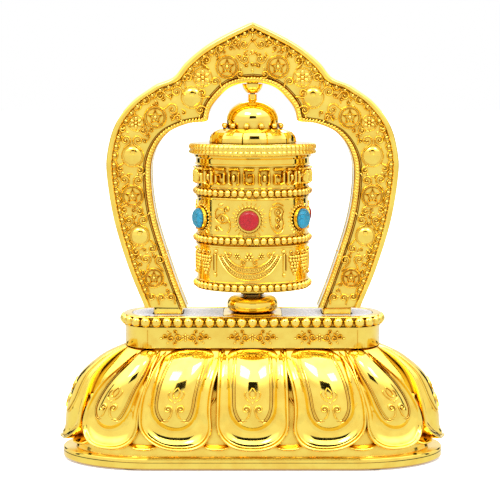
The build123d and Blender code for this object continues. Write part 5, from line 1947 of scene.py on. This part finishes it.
# ---------------------------------------------------------------- studio
@dataclass
class Studio:
    """Plain pale floor, soft lights, dark cards for the gold to reflect, and the camera.

    Its places and sizes are in metres, and the tilt in degrees.
    """

    floor_half: float = 4.0
    camera_height: float = 0.1054
    camera_distance: float = 0.463
    camera_side: float = -0.00068
    tilt: float = 5.98
    lens: float = 123.0

    def sheet(
        self, name: str, centre: tuple[float, float, float], size: tuple[float, float], turn: float
    ) -> bpy.types.Object:
        """Makes a flat upright card, turned about the upright axis.

        Args:
            name: name of the card.
            centre: its middle, in metres.
            size: width and height, in metres.
            turn: turn about the upright axis, in radians.

        Returns:
            The card.
        """
        across = np.array([math.cos(turn), math.sin(turn), 0.0]) * size[0] / 2
        up = np.array([0.0, 0.0, size[1] / 2])
        middle = np.array(centre)
        low, high = middle - up, middle + up
        corners = [low - across, low + across, high + across, high - across]
        mesh = bpy.data.meshes.new(name)
        mesh.from_pydata([tuple(corner) for corner in corners], [], [(0, 1, 2, 3)])
        card = bpy.data.objects.new(name, mesh)
        bpy.context.scene.collection.objects.link(card)
        return card

    def plain(
        self, name: str, colour: tuple[float, float, float], rough: float, glow: float, echo: float
    ) -> bpy.types.Material:
        """Makes a matt paint with a trace of mottling.

        Args:
            name: name of the material.
            colour: its colour.
            rough: its roughness.
            glow: light it gives of its own, seen directly.
            echo: brightness at which the gold reflects it.

        Returns:
            The material.
        """
        material = bpy.data.materials.new(name)
        material.use_nodes = True
        material.node_tree.nodes.clear()
        desk = NodeDesk(material.node_tree)
        noise = desk.add("ShaderNodeTexNoise", {"Scale": 3.0, "Detail": 2.0}).outputs[0]
        pale = desk.blend(desk.math("MULTIPLY", noise, 0.06), (*colour, 1.0), (0.7, 0.7, 0.7, 1.0))
        shader = desk.add("ShaderNodeBsdfPrincipled", {"Base Color": pale})
        shader.inputs["Roughness"].default_value = rough
        shader.inputs["Emission Color"].default_value = (1.0, 1.0, 1.0, 1.0)
        shader.inputs["Emission Strength"].default_value = glow
        dim = desk.add("ShaderNodeEmission", {"Color": pale, "Strength": echo})
        mirrored = desk.add("ShaderNodeLightPath").outputs["Is Glossy Ray"]
        shaders = {0: mirrored, 1: shader.outputs[0], 2: dim.outputs[0]}
        both = desk.add("ShaderNodeMixShader", shaders)
        desk.add("ShaderNodeOutputMaterial", {"Surface": both.outputs[0]})
        return material

    def floor(self) -> None:
        """Lays the floor."""
        half = self.floor_half
        mesh = bpy.data.meshes.new("floor")
        corners = [(-half, -half, 0), (half, -half, 0), (half, half, 0), (-half, half, 0)]
        mesh.from_pydata(corners, [], [(0, 1, 2, 3)])
        floor = bpy.data.objects.new("floor", mesh)
        bpy.context.scene.collection.objects.link(floor)
        mesh.materials.append(self.plain("floor_paint", (0.93, 0.93, 0.93), 0.6, 0.35, 1.0))

    def cards(self) -> None:
        """Stands dark cards round the object, out of the camera's sight."""
        paint = self.plain("card_paint", (0.012, 0.01, 0.009), 0.9, 0.0, 0.5)
        places = (
            ("card_front", (0.02, -0.64, 0.42), (0.34, 0.27), 0.0),
            ("card_left", (-0.72, 0.08, 0.2), (0.10, 0.5), -1.68),
            ("card_right", (0.72, 0.08, 0.2), (0.10, 0.5), 1.68),
            ("card_behind", (0.0, 0.52, 0.66), (0.6, 0.13), 0.0),
            ("card_rear_left", (-0.5, 0.6, 0.15), (0.2, 0.3), 0.7),
            ("card_rear_right", (0.55, 0.55, 0.15), (0.2, 0.3), -0.7),
        )
        for name, centre, size, turn in places:
            card = self.sheet(name, centre, size, turn)
            card.data.materials.append(paint)
            card.visible_camera = False
            card.visible_diffuse = False
            card.visible_shadow = False

    def light(
        self,
        name: str,
        place: tuple[float, float, float],
        size: tuple[float, float],
        power: float,
        aim: tuple[float, float, float] = (0.0, 0.0, 0.06),
    ) -> None:
        """Hangs one softbox aimed at a point.

        Args:
            name: name of the light.
            place: where it hangs.
            size: width and height.
            power: power in watts.
            aim: point it faces.
        """
        lamp = bpy.data.lights.new(name, "AREA")
        lamp.shape = "RECTANGLE"
        lamp.size, lamp.size_y = size
        lamp.energy = power
        box = bpy.data.objects.new(name, lamp)
        bpy.context.scene.collection.objects.link(box)
        away = np.array(place) - np.array(aim)
        flat = math.hypot(away[0], away[1])
        box.location = place
        heading = math.atan2(away[1], away[0]) + math.pi / 2
        box.rotation_euler = (math.atan2(flat, away[2]), 0.0, heading)

    def world(self) -> None:
        """Lights the room: white to the camera, and for reflections pale above and dimmer low."""
        world = bpy.data.worlds.new("studio")
        bpy.context.scene.world = world
        world.use_nodes = True
        world.node_tree.nodes.clear()
        desk = NodeDesk(world.node_tree)
        up = desk.add(
            "ShaderNodeSeparateXYZ", {0: desk.add("ShaderNodeTexCoord").outputs["Generated"]}
        ).outputs[2]
        strength = desk.span(up, 0.36, 0.78, 1.0, 2.6)
        room = desk.add("ShaderNodeBackground", {0: (1.0, 0.99, 0.97, 1.0), 1: strength})
        white = desk.add("ShaderNodeBackground", {0: (1.0, 1.0, 1.0, 1.0), 1: 1.0})
        seen = desk.add("ShaderNodeLightPath").outputs["Is Camera Ray"]
        both = desk.add("ShaderNodeMixShader", {0: seen, 1: room.outputs[0], 2: white.outputs[0]})
        desk.add("ShaderNodeOutputWorld", {"Surface": both.outputs[0]})

    def camera(self) -> None:
        """Sets the camera a little above the drum, looking slightly down."""
        lens = bpy.data.cameras.new("camera")
        lens.lens, lens.sensor_width = self.lens, 36.0
        lens.clip_start, lens.clip_end = 0.02, 20.0
        camera = bpy.data.objects.new("camera", lens)
        bpy.context.scene.collection.objects.link(camera)
        camera.location = (self.camera_side, -self.camera_distance, self.camera_height)
        camera.rotation_euler = (math.radians(90.0 - self.tilt), 0.0, 0.0)
        bpy.context.scene.camera = camera

    def build(self) -> None:
        """Sets up everything round the object."""
        self.floor()
        self.cards()
        self.world()
        self.camera()
        self.light("key", (-0.28, -0.5, 0.78), (0.34, 0.22), 2.0)
        self.light("fill", (0.36, -0.46, 0.74), (0.26, 0.2), 1.2)
        self.light("top", (0.0, 0.2, 0.85), (0.5, 0.3), 1.6)
        self.light("rear", (0.1, 0.75, 0.5), (0.5, 0.25), 1.2)
        bpy.context.scene.view_settings.view_transform = "Standard"


# ---------------------------------------------------------------- the whole
def main() -> None:
    """Builds the object from the base up, then the studio."""
    logging.basicConfig(level=logging.INFO, format="%(name)s: %(message)s")
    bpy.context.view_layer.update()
    dress_nodes(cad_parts)
    for assembly in (LotusBase(), Deck(), Arch(), Drum(), Roof(), Boss()):
        for piece in assembly.build():
            kind, faces = type(assembly).__name__, len(piece.data.polygons)
            log.info("%s: %s, %d faces", kind, piece.name, faces)
    Studio().build()
    log.info("Studio: floor, cards, lights and camera")


if __name__ == "__main__":
    main()
